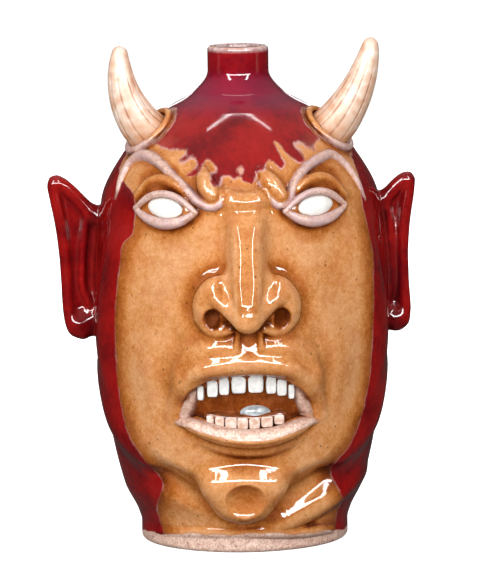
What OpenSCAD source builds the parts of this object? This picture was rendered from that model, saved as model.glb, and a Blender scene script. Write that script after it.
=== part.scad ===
// Face jug: a thrown stoneware jug with a devil's face built on it in luted clay.
// Millimetres, +Z up, origin at the middle of the foot. The face looks along -Y.
// Left and right are as the viewer sees them, so left is -X.
// Each added piece is seated on the wall by one profile function, with a film of slip in the joint.

/* [Thrown jug] */
// Height from the foot to the lip
jug_h = 260; // [225:1:300]
// Radius of the straight foot
foot_r = 54.5; // [50:0.5:56]
// Height of the straight foot
foot_h = 9; // [6:0.5:12]
// Rounding of the foot's lower edge
foot_edge = 2.5; // [1:0.5:5]
// Radius where the wall leaves the foot
waist_r = 56; // [54:0.5:60]
// Height where the wall leaves the foot
waist_z = 15; // [13:0.5:20]
// Radius at the hip, below the jaw
hip_r = 63.2; // [60:0.1:68]
// Height of the hip
hip_z = 30; // [24:1:38]
// Radius at the side, level with the mouth
side_r = 71.2; // [68:0.1:76]
// Height of the side
side_z = 68; // [55:1:85]
// Largest radius, level with the nose
belly_r = 77; // [73:0.5:84]
// Height of the largest radius
belly_z = 135; // [115:1:155]
// Radius at the temples
temple_r = 73; // [69:0.5:77]
// Drop from the lip to the temples
temple_drop = 80; // [72:1:92]
// Radius at the shoulder
shoulder_r = 60.5; // [56:0.5:66]
// Drop from the lip to the shoulder
shoulder_drop = 55; // [48:1:62]
// Radius where the shoulder turns up to the neck
root_r = 37; // [32:0.5:42]
// Drop from the lip to the neck's root
root_drop = 32; // [29:0.5:38]
// Radius in the sweep below the neck
sweep_r = 23.8; // [21:0.1:27]
// Drop from the lip to that sweep
sweep_drop = 24; // [20:0.5:28]
// Outer radius of the neck
neck_r = 16; // [14.5:0.1:19]
// Length of the straight neck
neck_len = 13; // [8:0.5:18]
// Radius of the bore in the neck
bore_r = 12.5; // [10:0.1:13.5]
// Length of the straight bore below the lip
bore_len = 24; // [20:0.5:26]
// Thickness of the thrown wall
wall_t = 6; // [4:0.5:8]
// Thickness of the floor
floor_t = 9; // [6:0.5:12]
// Radius of the curve between the floor and the wall inside
floor_fillet = 14; // [6:1:20]

/* [Joints] */
// Film of slip between an added piece and the wall
slip_t = 0.25; // [0.15:0.05:0.4]
// Clearance round a tooth's root in its socket
tooth_clear = 0.2; // [0.1:0.05:0.4]
// Shift of the nose, mouth and inner brows to the right
face_shift = 2.5; // [0:0.5:4]

/* [Handle] */
// Width of the strap
strap_w = 22; // [16:1:26]
// Thickness of the strap
strap_t = 8; // [6:0.5:10]
// Drop from the lip to the strap's upper end
strap_drop = 15; // [12:0.5:18]
// Drop from the lip to the strap's lower end
strap_low = 68; // [60:1:78]
// Room for fingers between the strap and the shoulder
strap_reach = 24; // [18:1:30]

/* [Ears] */
// Reach of the left ear's tip past the largest radius
left_ear_reach = 24.5; // [16:0.5:30]
// Reach of the right ear's tip past the largest radius
right_ear_reach = 15.5; // [12:0.5:26]
// Height of the lobe's lowest point
ear_low = 106; // [98:1:114]
// Height of the ear's tip
ear_top = 192; // [180:1:200]
// Drop from the ear's tip to the notch where it leaves the head
ear_notch = 17; // [14:0.5:27]
// Angle of the ears round the jug from the face
ear_turn = 93; // [86:1:100]
// Backward lean of the ear from its lobe to its tip, in degrees round the jug
ear_lean = 7; // [0:1:12]
// Thickness of the ear at its root
ear_t = 9; // [6:0.5:12]
// How far the ear's rim curls forward
ear_cup = 7; // [3:0.5:12]

/* [Horns] */
// Radius of a horn at its root
horn_r = 12; // [9:0.2:13]
// Radius of a horn's blunt tip
horn_tip_r = 1.2; // [0.8:0.1:2]
// Angle of the horns round the jug from the face
horn_turn = 70; // [66:1:78]
// Drop from the lip to the middle of a horn's root
horn_drop = 43.5; // [42:0.5:47]
// Rise of the left horn's tip above the lip
left_horn_rise = 2.5; // [-5:0.5:12]
// Rise of the right horn's tip above the lip
right_horn_rise = 5; // [-5:0.5:12]
// Distance of the left horn's tip from the middle
left_horn_spread = 61; // [54:0.5:72]
// Distance of the right horn's tip from the middle
right_horn_spread = 69.5; // [54:0.5:74]
// Distance of the horns' tips in front of the middle
horn_forward = 22; // [16:1:30]
// Gap between a horn's root and its collar
collar_gap = 0.6; // [0.4:0.1:0.9]
// Half-width of the collar coil round a horn
collar_half_w = 2.2; // [1.5:0.1:2.6]
// Height of the collar coil above the shoulder
collar_rise = 6; // [3:0.5:8]

/* [Eyes and brows] */
// Distance of an eye's middle from the middle of the face
eye_x = 39; // [37:0.5:42]
// Height of the eyes
eye_z = 181; // [177:0.5:182]
// Half-length of the eye's opening to the middle of the lid coils
eye_half_w = 14.8; // [13:0.2:15]
// Rise of the upper lid's middle above the corners
upper_lid_arch = 8.6; // [6:0.2:9]
// Drop of the lower lid's middle below the corners
lower_lid_arch = 6.6; // [6:0.2:8]
// Half-width of a lid coil
lid_half_w = 1.6; // [1:0.1:2]
// Height of a lid coil above the wall
lid_rise = 6; // [3:0.5:8]
// Height of an eyeball above the wall
eyeball_rise = 5; // [3:0.5:7]
// Half-width of a brow coil
brow_half_w = 2.4; // [1.5:0.1:2.8]
// Height of a brow coil above the wall
brow_rise = 5; // [3:0.5:7]
// Height of a frown pad above the wall
frown_rise = 6.5; // [4:0.5:9]

/* [Nose] */
// Height of the nose's middle
nose_z = 146; // [142:0.5:150]
// Length of the bridge above the nose's middle
nose_up = 31; // [26:0.5:34]
// Length of the nose below its middle
nose_down = 26; // [22:0.5:27]
// Half-width of the nose at its middle
nose_half_w = 9.6; // [8:0.1:10]
// How far the tip stands out
nose_rise = 30; // [22:0.5:36]
// Half-width of a nostril's wing
wing_half_w = 9.2; // [7:0.1:9.4]
// Half-height of a nostril's wing
wing_half_h = 11.5; // [9:0.5:12]
// Drop from the nose's middle to the middle of a nostril's wing
wing_drop = 10; // [7:0.5:12]
// How far a nostril's wing stands out
wing_rise = 18; // [12:0.5:22]

/* [Cheeks, jaw and chin] */
// Distance of a cheek's middle from the middle of the face
cheek_x = 51; // [49:0.5:53]
// Height of a cheek's middle
cheek_z = 120; // [116:1:124]
// Half-width of a cheek pad
cheek_half_w = 16.5; // [12:0.5:17]
// Half-height of a cheek pad
cheek_half_h = 42; // [34:1:44]
// Height of a cheek pad above the wall
cheek_rise = 4.5; // [2:0.5:7]
// Half-width of the jaw strip
jaw_half_w = 7.5; // [4:0.5:8]
// Height of the jaw strip above the wall
jaw_rise = 7; // [4:0.5:10]
// Height of the chin's middle
chin_z = 34; // [32:0.5:38]
// Half-width of the chin
chin_half_w = 17.5; // [14:0.5:19]
// Half-height of the chin
chin_half_h = 17; // [14:0.5:18]
// How far the chin stands out
chin_rise = 16; // [10:0.5:20]
// Depth of the thumb dimple in the chin
dimple_depth = 4.5; // [0:0.5:6]
// Radius of the thumb dimple
dimple_r = 9; // [6:0.5:11]

/* [Mouth] */
// Height of the corners of the mouth
mouth_z = 75.5; // [72:0.5:78]
// Half-width of the mouth to the middle of the lips
mouth_half_w = 34.5; // [33:0.5:37]
// Rise of the upper lip's middle above the corners
upper_lip_arch = 30; // [29:0.5:32]
// Drop of the lower lip's middle below the corners
lower_lip_drop = 11; // [10:0.5:12]
// Half-width of the upper lip at its middle
upper_lip_half_w = 7; // [5:0.2:7.2]
// Half-width of the lower lip at its middle
lower_lip_half_w = 4.4; // [3:0.2:5]
// How far the lips stand out at the middle
lip_rise = 15; // [10:0.5:18]
// Half-width of a gum strip
gum_half_w = 2.1; // [1.5:0.1:2.4]
// How far the gums stand out
gum_rise = 9; // [7:0.5:11]
// Gap between a gum and its lip
gum_gap = 0.4; // [0.2:0.1:0.8]
// Thickness of a tooth
tooth_t = 3.2; // [2:0.1:4]
// Distance of a tooth's back from the wall
tooth_back = 3.4; // [2:0.1:4]
// Depth of a tooth's root in its gum
tooth_root = 2.4; // [1.5:0.1:3]
// Length of an upper tooth past its gum
upper_tooth_len = 6.6; // [5:0.2:8]
// Length of a lower tooth past its gum
lower_tooth_len = 4.2; // [3:0.2:5]
// Gap between two teeth
tooth_gap = 0.7; // [0.4:0.1:1.2]
// Half-width of the tongue
tongue_half_w = 8.5; // [6:0.5:10]
// How far the tongue stands out
tongue_rise = 9; // [6:0.5:12]

/* [Hidden] */
left = -1;
right = 1;
upper_teeth = 8;
lower_teeth = 7;

// Glaze and clay colours
red_glaze = "firebrick";
tan_glaze = "peru";
bare_clay = "rosybrown";
white_clay = "linen";
china = "white";
tongue_glaze = "lightsteelblue";

// Line of a brow, from beside the eye over its peak to the hook at the frown
brow_line = [
    [63.5, 185], [60.5, 193], [55, 201], [48, 205.5], [40.5, 204], [34.5, 199], [28, 194], [21.5, 187.5],
    [16.5, 183.5], [11, 186], [8, 193.5]];

// The face is one drawing, x across and z up, that stretches so that the brows peak at the shoulder
shoulder_z = jug_h - shoulder_drop;
horn_z = jug_h - horn_drop;
brow_over = 0.5;
face_stretch = (shoulder_z + brow_over) / max([for (p = brow_line) p.y]);
function level(z) = z * face_stretch;

// The wall's outline: height and radius at each station, from the foot up
stations = [
    [0, foot_r], [foot_h, foot_r], [waist_z, waist_r], [level(hip_z), hip_r], [level(side_z), side_r],
    [level(belly_z), belly_r], [jug_h - temple_drop, temple_r], [shoulder_z, shoulder_r],
    [jug_h - root_drop, root_r], [jug_h - sweep_drop, sweep_r], [jug_h - neck_len, neck_r], [jug_h, neck_r]];
wall_step = 5;
neck_step = 2;
lip_round = (neck_r - bore_r) / 2;
arc_steps = 4;

function clamp(v, low, high) = min(max(v, low), high);
function mix(a, b, t) = a + (b - a) * t;
function unit(v) = v / norm(v);

// A smooth curve through the stations that never overshoots them
function secant(i) = (stations[i + 1].y - stations[i].y) / (stations[i + 1].x - stations[i].x);
function lean(i) = i == 0 || i == len(stations) - 1 || secant(i - 1) * secant(i) <= 0 ? 0
    : 2 * secant(i - 1) * secant(i) / (secant(i - 1) + secant(i));
function span_at(z, i = 0) = i == len(stations) - 2 || z <= stations[i + 1].x ? i : span_at(z, i + 1);
function wall_r(z) = let(
    i = span_at(z),
    h = stations[i + 1].x - stations[i].x,
    t = clamp((z - stations[i].x) / h, 0, 1))
    stations[i].y * (2 * t^3 - 3 * t^2 + 1) + lean(i) * h * (t^3 - 2 * t^2 + t)
    + stations[i + 1].y * (3 * t^2 - 2 * t^3) + lean(i + 1) * h * (t^3 - t^2);
function wall_slope(z) = wall_r(z + 0.5) - wall_r(z - 0.5);
function wall_stretch(z) = sqrt(1 + wall_slope(z)^2);

// A point on the wall at an angle from the face and a height, lifted off along the wall's normal
function on_wall(turn, z, lift) = let(c = 1 / wall_stretch(z))
    [(wall_r(z) + lift * c) * sin(turn), -(wall_r(z) + lift * c) * cos(turn), z - lift * wall_slope(z) * c];
// The same point for a height on the face's drawing
function on_face(turn, z, lift) = on_wall(turn, level(z), lift);
// The angle and drawn height of the spot that a viewer sees at x and z on the front
function spot(x, z) = [asin(clamp(x / wall_r(level(z)), -0.999, 0.999)), z];
function front(x, z, lift) = on_face(spot(x, z).x, z, lift);

// A smooth curve of n steps through a few points
function spline_point(p, s) = let(
    i = min(floor(s), len(p) - 2),
    t = s - i,
    a = p[max(i - 1, 0)],
    b = p[i],
    c = p[i + 1],
    d = p[min(i + 2, len(p) - 1)])
    0.5 * (2 * b + (c - a) * t + (2 * a - 5 * b + 4 * c - d) * t^2 + (3 * b - a - 3 * c + d) * t^3);
function spline(p, n) = [for (k = [0 : n]) spline_point(p, k / n * (len(p) - 1))];

// A strip's width or height that is rounded off at both ends, over a share of its length
function rounded_end(t, share, least) = let(d = min(t, 1 - t))
    d >= share ? 1 : max(least, sqrt(1 - (1 - d / share)^2));
// A strip's width or height that changes from the middle of the strip to its ends
function from_middle(t, middle, ends) = mix(middle, ends, (2 * t - 1)^2);

// A closed skin over rings of points, with fan caps or with its ends joined
module skin(rings, closed = false, start = undef, finish = undef) {
    n = len(rings[0]);
    count = len(rings);
    last = closed ? count - 1 : count - 2;
    function middle(ring) = [for (p = ring) 1] * ring / n;
    first = is_undef(start) ? middle(rings[0]) : start;
    final = is_undef(finish) ? middle(rings[count - 1]) : finish;
    points = concat([for (ring = rings) each ring], closed ? [] : [first, final]);
    sides = [for (k = [0 : last], j = [0 : n - 1]) let(
        a = k * n + j,
        b = k * n + (j + 1) % n,
        c = (k + 1) % count * n + j,
        d = (k + 1) % count * n + (j + 1) % n)
        each [[a, c, d], [a, d, b]]];
    caps = closed ? [] : [for (j = [0 : n - 1]) each [
        [count * n, j, (j + 1) % n],
        [count * n + 1, (count - 1) * n + (j + 1) % n, (count - 1) * n + j]]];
    polyhedron(points, concat(sides, caps));
}

// A strip of clay with a domed section, laid on the wall along spots of angle and drawn height
module coil(spots, half_w, rise, closed = false, arch = 8) {
    count = len(spots);
    base = [0.5, 0, -0.5];
    function ring(k) = let(
        t = k / (count - 1),
        here = spots[k],
        before = spots[closed ? (k + count - 1) % count : max(k - 1, 0)],
        after = spots[closed ? (k + 1) % count : min(k + 1, count - 1)],
        round = wall_r(level(here.y)) * PI / 180,
        up = wall_stretch(level(here.y)),
        along = unit([(after.x - before.x) * round, (after.y - before.y) * up]),
        place = function(across, lift) on_face(
            here.x - across * along.y / round, here.y + across * along.x / up, slip_t + lift))
        concat(
            [for (j = [0 : arch]) let(a = 180 * j / arch) place(half_w(t) * cos(a), rise(t) * sin(a))],
            [for (b = base) place(-half_w(t) * b, 0)]);
    skin([for (k = [0 : count - 1]) ring(k)], closed);
}

// A pad of clay pressed on the front of the wall: an outline round a middle, and a rise at each spot
module pad(x, z, outline, rise, sides = 28, rings = 6) {
    function spread(lifted) = [for (k = [1 : rings], j = [0 : sides - 1]) let(
        a = 360 * j / sides,
        q = k / rings,
        o = q * outline(a))
        front(x + o.x, z + o.y, slip_t + (lifted ? rise(q, a) : 0))];
    points = concat(
        [front(x, z, slip_t + rise(0, 0))], spread(true),
        [front(x, z, slip_t)], spread(false));
    base = 1 + rings * sides;
    function at(k, j) = 1 + (k - 1) * sides + j % sides;
    top = concat(
        [for (j = [0 : sides - 1]) [0, at(1, j + 1), at(1, j)]],
        [for (k = [1 : rings - 1], j = [0 : sides - 1]) each [
            [at(k, j), at(k, j + 1), at(k + 1, j + 1)],
            [at(k, j), at(k + 1, j + 1), at(k + 1, j)]]]);
    bottom = [for (f = top) [base + f[0], base + f[2], base + f[1]]];
    rim = [for (j = [0 : sides - 1]) each [
        [at(rings, j), at(rings, j + 1), base + at(rings, j + 1)],
        [at(rings, j), base + at(rings, j + 1), base + at(rings, j)]]];
    polyhedron(points, concat(top, bottom, rim));
}

// An oval outline and a dome that keeps a little thickness at its edge
edge_t = 0.8;
function oval(half_w, half_h) = function(a) [half_w * cos(a), half_h * sin(a)];
function dome(height) = function(q, a) edge_t + (height - edge_t) * sqrt(1 - q^2);

// Thrown jug: one turned section with the bore, the inside and the rounded lip and foot
module jug_body() {
    bore_low = jug_h - bore_len;
    function inner_r(z) = let(
        depth = clamp((floor_t + floor_fillet - z) / floor_fillet, 0, 1))
        max(bore_r + wall_t / 4, wall_r(z) - wall_t * wall_stretch(z))
        - floor_fillet * (1 - sqrt(1 - depth^2));
    outside = concat(
        [for (z = [foot_edge : wall_step : shoulder_z]) [wall_r(z), z]],
        [for (z = [shoulder_z + neck_step : neck_step : jug_h - lip_round - neck_step / 2]) [wall_r(z), z]]);
    inside = [for (z = [bore_low - wall_step / 2 : -wall_step : floor_t + wall_step / 2]) [inner_r(z), z]];
    foot_arc = [for (k = [0 : arc_steps - 1]) let(a = 90 * k / arc_steps)
        [wall_r(0) - foot_edge * (1 - sin(a)), foot_edge * (1 - cos(a))]];
    lip_arc = [for (k = [0 : 2 * arc_steps]) let(a = 90 * k / arc_steps)
        [neck_r - lip_round * (1 - cos(a)), jug_h - lip_round * (1 - sin(a))]];
    floor_edge = [inner_r(floor_t), floor_t];
    color(red_glaze)
        rotate_extrude($fn = 96)
            polygon(concat([[0, 0]], foot_arc, outside, lip_arc, [[bore_r, bore_low]], inside,
                [floor_edge, [0, floor_t]]));
}

// Pulled strap from the neck to the back of the shoulder, one smooth loop that flares where it is luted on
module handle() {
    steps = 24;
    sides = 20;
    flare_w = 0.25;
    flare_t = 0.6;
    top_z = jug_h - strap_drop;
    low_z = jug_h - strap_low;
    top = [wall_r(top_z), top_z];
    low = [wall_r(low_z), low_z];
    top_pull_share = [1.4, 0.55];
    low_pull_share = [1, 1.5];
    top_pull = top + strap_reach * top_pull_share;
    low_pull = low + strap_reach * low_pull_share;
    function centre(t) =
        top * (1 - t)^3 + top_pull * 3 * (1 - t)^2 * t + low_pull * 3 * (1 - t) * t^2 + low * t^3;
    function along(t) = let(middle = low_pull - top_pull)
        unit(mix(mix(top_pull - top, middle, t), mix(middle, low - low_pull, t), t));
    function seat_y(p) = sqrt((wall_r(p.z) + slip_t)^2 - p.x^2);
    function seated(p) = [p.x, seat_y(p), p.z];
    function squared(v) = sign(v) * abs(v)^0.7;
    function ring(t) = let(
        end = (2 * t - 1)^8,
        d = along(t))
        [for (j = [0 : sides - 1]) let(
            a = 360 * j / sides,
            wide = squared(cos(a)) * strap_w / 2 * (1 + flare_w * t^8),
            thick = squared(sin(a)) * strap_t / 2 * (1 + flare_t * end),
            p = [wide, centre(t).x - d.y * thick, centre(t).y + d.x * thick])
            [p.x, max(p.y, seat_y(p) + slip_t * end), p.z]];
    function seat_middle(t) = seated([0, 0, centre(t).y]);
    function seat_ring(t, share) = [for (p = ring(t)) seated(mix(seat_middle(t), p, share))];
    seat_shares = [0.25, 0.5, 0.75, 1];
    color(red_glaze) skin(
        concat(
            [for (share = seat_shares) seat_ring(0, share)],
            [for (k = [1 : steps - 1]) ring(k / steps)],
            [for (i = [len(seat_shares) - 1 : -1 : 0]) seat_ring(1, seat_shares[i])]),
        start = seat_middle(0), finish = seat_middle(1));
}

// Pointed, cupped ear: rows from the lobe up, each from the head out to the rim
module ear(reach) {
    rows = 20;
    across = [0, 0.2, 0.45, 0.7, 0.88, 1];
    rim_start = 0.8;
    rim_share = 0.22;
    rim_thin = 0.6;
    edge_thin = 0.5;
    lobe_fat = 1.25;
    tip_thin = 0.7;
    tip_half_w = 1.2;
    notch = 1 - ear_notch / (ear_top - ear_low);
    reach_line = [for (share = [0.22, 0.56, 0.68, 0.7, 0.7, 0.72, 0.76, 0.82, 0.9, 1]) [share, 0]];
    function outer_x(t) = belly_r + reach * spline_point(reach_line, t * (len(reach_line) - 1)).x;
    function half_t(s, t) =
        ear_t / 2 * mix(1, rim_thin, s) * (s == 1 ? edge_thin : 1) * mix(lobe_fat, tip_thin, t);
    function forward(s) = ear_cup * s^2;
    function rim_roll(s) = s > rim_start ? ear_t * rim_share : 0;
    function row(t) = let(
        z = level(mix(ear_low, ear_top, t)),
        turn = ear_turn + ear_lean * (t - 0.5),
        free = max(0, (t - notch) / (1 - notch)),
        root = on_wall(turn, min(z, level(ear_top - ear_notch)), slip_t),
        in_x = mix(root.x, outer_x(1) - tip_half_w, sin(90 * free)^1.3),
        half_turn = half_t(0, t) / wall_r(z) * 180 / PI,
        thick = function(s, face) face * half_t(s, t) - (face < 0 ? rim_roll(s) : 0),
        place = function(s, face) s == 0 && free == 0 ? on_wall(turn + face * half_turn, z, slip_t)
            : [mix(in_x, outer_x(t), s), root.y - forward(s) + thick(s, face), z])
        concat(
            [for (s = across) place(s, -1)],
            [for (i = [len(across) - 1 : -1 : 0]) place(across[i], 1)]);
    skin([for (k = [0 : rows]) row(k / rows)]);
}

module left_ear() { color(red_glaze) mirror([1, 0, 0]) ear(left_ear_reach); }

module right_ear() { color(red_glaze) ear(right_ear_reach); }

// A circle on the shoulder round the middle of a horn's root
function horn_circle(side, r, count) = [for (k = [0 : count - 1]) let(
    a = 360 * k / count,
    z = horn_z + r * sin(a) / wall_stretch(horn_z))
    [side * horn_turn + r * cos(a) / wall_r(z) * 180 / PI, z]];

// Horn: stands on the shoulder inside its collar and curves up to a blunt tip
module horn(side, spread, rise) {
    sides = 18;
    steps = 12;
    turn = side * horn_turn;
    root = on_wall(turn, horn_z, slip_t);
    tip = [side * spread, -horn_forward, jug_h + rise];
    out = unit(on_wall(turn, horn_z, 1) - on_wall(turn, horn_z, 0));
    upward = [0, 0, 0.6];
    bend = root + unit(out + upward) * norm(tip - root) / 2;
    round_axis = [cos(turn), sin(turn), 0];
    function along(t) = unit(mix(bend - root, tip - bend, t));
    function centre(t) = mix(mix(root, bend, t), mix(bend, tip, t), t);
    taper = 0.62;
    function radius(t) = mix(horn_tip_r, horn_r, (1 - t)^taper);
    function ring(t) = let(
        d = along(t),
        e = unit(round_axis - (round_axis * d) * d),
        f = cross(d, e))
        [for (j = [0 : sides - 1]) let(a = 360 * j / sides)
            centre(t) + radius(t) * (cos(a) * e + sin(a) * f)];
    function seat(share) = [for (s = horn_circle(side, horn_r * share, sides)) on_wall(s.x, s.y, slip_t)];
    color(white_clay)
        skin(concat([seat(0.5), seat(1)], [for (k = [2 : steps]) ring(k / steps)]), start = root);
}

module left_horn() { horn(left, left_horn_spread, left_horn_rise); }

module right_horn() { horn(right, right_horn_spread, right_horn_rise); }

// Collar: a clay coil pressed round the horn's root
module horn_collar(side) {
    r = horn_r + collar_half_w + collar_gap;
    drawn_circle = [for (s = horn_circle(side, r, 32)) [s.x, s.y / face_stretch]];
    color(bare_clay)
        coil(drawn_circle, function(t) collar_half_w, function(t) collar_rise, closed = true);
}

// The face's shift to the right fades out from the middle of the face to a width
function shifted(side, x, width) = side * x + face_shift * max(0, 1 - x / width);

// Brow: a coil that starts beside the eye, peaks under the horn and hooks round the frown pad
module brow(side) {
    line = [for (p = brow_line) spot(shifted(side, p.x, brow_line[0].x), p.y)];
    color(bare_clay) coil(spline(line, 36),
        function(t) brow_half_w * rounded_end(t, 0.06, 0.4),
        function(t) brow_rise * rounded_end(t, 0.08, 0.3));
}

// Frown pad: a lump of clay inside the brow's hook
frown_x = 16;
frown_z = 194;
frown_half_w = 5;
frown_half_h = 6.6;
module frown_pad(side) {
    color(tan_glaze) pad(shifted(side, frown_x, brow_line[0].x), frown_z,
        oval(frown_half_w, frown_half_h), dome(frown_rise), sides = 20, rings = 4);
}

// Eyelids: two coils that meet at the corners of the eye
lid_gap = 0.3;
function lid_line(side, arch) = spline([
    for (u = [-1, -0.55, 0, 0.55, 1]) let(
        corner = sign(arch) * (lid_half_w + lid_gap / 2))
        spot(side * (eye_x + u * eye_half_w), eye_z + corner + (arch - corner) * (1 - u^2))], 16);
module lid(side, arch) {
    function end(t) = rounded_end(t, 0.15, 0.5);
    color(bare_clay)
        coil(lid_line(side, arch), function(t) lid_half_w * end(t), function(t) lid_rise * end(t));
}

module upper_lid(side) { lid(side, upper_lid_arch); }

module lower_lid(side) { lid(side, -lower_lid_arch); }

// Eyeball: a dome of white clay that fills the opening between the lids
module eyeball(side) {
    half_h = (upper_lid_arch + lower_lid_arch) / 2 - lid_half_w - lid_gap;
    middle_z = eye_z + (upper_lid_arch - lower_lid_arch) / 2;
    length_share = 0.62;
    color(white_clay) pad(side * eye_x, middle_z, oval(eye_half_w * length_share, half_h), dome(eyeball_rise),
        sides = 24, rings = 4);
}

// Nose: a ridge that stands out more and more down to a hooked tip
nose_x = face_shift;
nose_root_rise = 5;
module nose() {
    spread = 0.4;
    tip_blunt = 5;
    function outline(a) = [
        nose_half_w * (1 - spread * sin(a)) * cos(a),
        (sin(a) > 0 ? nose_up : nose_down) * sin(a)];
    function height(q, a) = (q * outline(a).y + nose_down) / (nose_up + nose_down);
    function ridge(q, a) = mix(nose_rise, nose_root_rise, height(q, a));
    function rise(q, a) = edge_t + ridge(q, a) * sqrt(1 - q^(2 + tip_blunt * max(0, -sin(a))));
    color(tan_glaze)
        pad(nose_x, nose_z, function(a) outline(a), function(q, a) rise(q, a), sides = 32, rings = 8);
}

// Nostril: a flared wing beside the nose, fuller on the nose's side and hollowed below
module nostril(side) {
    gap = 0.5;
    lean_in = 0.3;
    hollow_r = wing_half_w * 0.6;
    hollow_depth = wing_rise * 0.55;
    hollow_drop = wing_half_h * 0.5;
    inner_x = nose_half_w * 1.1 + gap;
    function squared(v) = sign(v) * abs(v)^0.8;
    function outline(a) = [wing_half_w * squared(cos(a)), wing_half_h * squared(sin(a))];
    function hollow(q, a) = let(d = norm(q * outline(a) + [0, hollow_drop]))
        hollow_depth * max(0, 1 - (d / hollow_r)^2);
    function fullness(q, a) = 1 - lean_in * side * q * cos(a);
    function rise(q, a) = edge_t + max(0, wing_rise * fullness(q, a) * sqrt(1 - q^4) - hollow(q, a));
    color(tan_glaze) pad(nose_x + side * (inner_x + wing_half_w), nose_z - wing_drop,
        function(a) outline(a), function(q, a) rise(q, a), sides = 28, rings = 7);
}

// Cheek: a broad low pad between the nose and the ear
module cheek(side) {
    color(tan_glaze) pad(side * cheek_x, cheek_z, oval(cheek_half_w, cheek_half_h), dome(cheek_rise));
}

// Jaw: a strip from below the ear to the chin, which gives the face its lower edge
jaw_gap = 3;
jaw_line = [[64, 80], [59.5, 64], [51, 53], [39, 47], [chin_half_w + jaw_gap, 46.5]];
module jaw(side) {
    ear_share = 0.6;
    function fuller(t) = mix(ear_share, 1, t);
    color(tan_glaze) coil(spline([for (p = jaw_line) spot(side * p.x, p.y)], 18),
        function(t) jaw_half_w * fuller(t) * rounded_end(t, 0.12, 0.5),
        function(t) jaw_rise * fuller(t) * rounded_end(t, 0.12, 0.4));
}

// Chin: a boss with a thumb dimple
module chin() {
    dimple_drop = 4;
    top_blunt = 2.5;
    under_blunt = 1.5;
    function dimple(q, a) = let(d = norm(q * oval(chin_half_w, chin_half_h)(a) + [0, dimple_drop]))
        dimple_depth * max(0, 1 - (d / dimple_r)^2);
    function rise(q, a) = edge_t
        + chin_rise * sqrt(1 - q^(top_blunt + under_blunt * max(0, -sin(a)))) - dimple(q, a) * (1 - q);
    color(tan_glaze) pad(0, chin_z, oval(chin_half_w, chin_half_h), function(q, a) rise(q, a), rings = 8);
}

// Lips: two thick strips that meet at the corners of the mouth
mouth_x = face_shift * 0.8;
lip_gap = 0.4;
lip_end_half_w = 3;
lip_end_rise = lip_rise * 0.6;
function upper_line(drop) = [for (u = [-1, -0.93, -0.66, -0.33, 0, 0.33, 0.66, 0.93, 1]) let(
    reach = mouth_half_w - drop,
    arch = upper_lip_arch - drop)
    [mouth_x + reach * sign(u) * (1 - (1 - abs(u))^1.15), mouth_z + lip_gap + arch * sqrt(1 - abs(u)^2.6)]];
function lower_line(lift, u) = [mouth_x + mouth_half_w * u,
    mouth_z - lip_end_half_w + lift - (lower_lip_drop - lip_end_half_w) * (1 - abs(u)^1.8)];
module upper_lip() {
    line = [for (p = upper_line(0)) spot(p.x, p.y)];
    color(tan_glaze) coil(spline(line, 32),
        function(t) from_middle(t, upper_lip_half_w, lip_end_half_w),
        function(t) from_middle(t, lip_rise, lip_end_rise), arch = 10);
}

module lower_lip() {
    line = [for (u = [-1.06 : 0.106 : 1.07]) let(p = lower_line(0, u)) spot(p.x, p.y)];
    color(bare_clay) coil(line,
        function(t) from_middle(t, lower_lip_half_w, lip_end_half_w - lip_gap) * rounded_end(t, 0.06, 0.6),
        function(t) from_middle(t, lip_rise, lip_end_rise), arch = 10);
}

// Webs of bare clay inside the corners of the mouth
corner_half_w = 2.4;
corner_half_h = 5.5;
corner_x = mouth_half_w - lip_end_half_w * 1.6 - corner_half_w - lip_gap;
module mouth_corner(side) {
    color(bare_clay) pad(mouth_x + side * corner_x, mouth_z + corner_half_h + lip_gap,
        oval(corner_half_w, corner_half_h), dome(gum_rise * 0.7), sides = 20, rings = 4);
}

// Gums: strips just inside the lips, with a socket for each tooth
upper_gum_drop = upper_lip_half_w + gum_gap + gum_half_w;
lower_gum_lift = lower_lip_half_w + gum_gap + gum_half_w;
upper_end_gap = 1.5;
lower_end_gap = 2.5;
upper_gum_reach = corner_x - corner_half_w - upper_end_gap;
lower_gum_reach = corner_x - corner_half_w - lower_end_gap;
upper_gum_bow = (upper_lip_arch - upper_gum_drop) * 0.36;
function upper_gum_z(x) = mouth_z + lip_gap + upper_lip_arch - upper_gum_drop
    - upper_gum_bow * (abs(x) / upper_gum_reach)^2.4;
function lower_gum_z(x) = lower_line(lower_gum_lift, x / mouth_half_w).y;
function gum_line(reach, height) =
    [for (k = [-10 : 10]) let(x = k / 10 * reach) spot(mouth_x + x, height(x))];
module upper_gum() {
    color(tan_glaze) difference() {
        coil(gum_line(upper_gum_reach, function(x) upper_gum_z(x)),
            function(t) gum_half_w, function(t) gum_rise);
        for (i = [1 : upper_teeth]) upper_tooth_block(i, tooth_clear);
    }
}

module lower_gum() {
    color(tan_glaze) difference() {
        coil(gum_line(lower_gum_reach, function(x) lower_gum_z(x)),
            function(t) gum_half_w, function(t) gum_rise);
        for (i = [1 : lower_teeth]) lower_tooth_block(i, tooth_clear);
    }
}

// Teeth: china chips with rounded corners, whose roots stand in the gums' sockets
upper_pitch = 2 * upper_gum_reach / upper_teeth * 0.98;
lower_pitch = 2 * lower_gum_reach / lower_teeth * 0.94;
tooth_corner = 1;
module chip(x, z, w, root, free, clear) {
    low = level(min(-root, free));
    high = level(max(-root, free));
    translate(front(mouth_x + x, z, tooth_back))
        rotate([0, 0, spot(mouth_x + x, z).x])
            translate([0, clear, 0]) rotate([90, 0, 0]) linear_extrude(tooth_t + 2 * clear)
                hull() for (u = [-1, 1], v = [low - clear + tooth_corner, high + clear - tooth_corner])
                    translate([u * (w / 2 + clear - tooth_corner), v]) circle(tooth_corner, $fn = 24);
}

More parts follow.
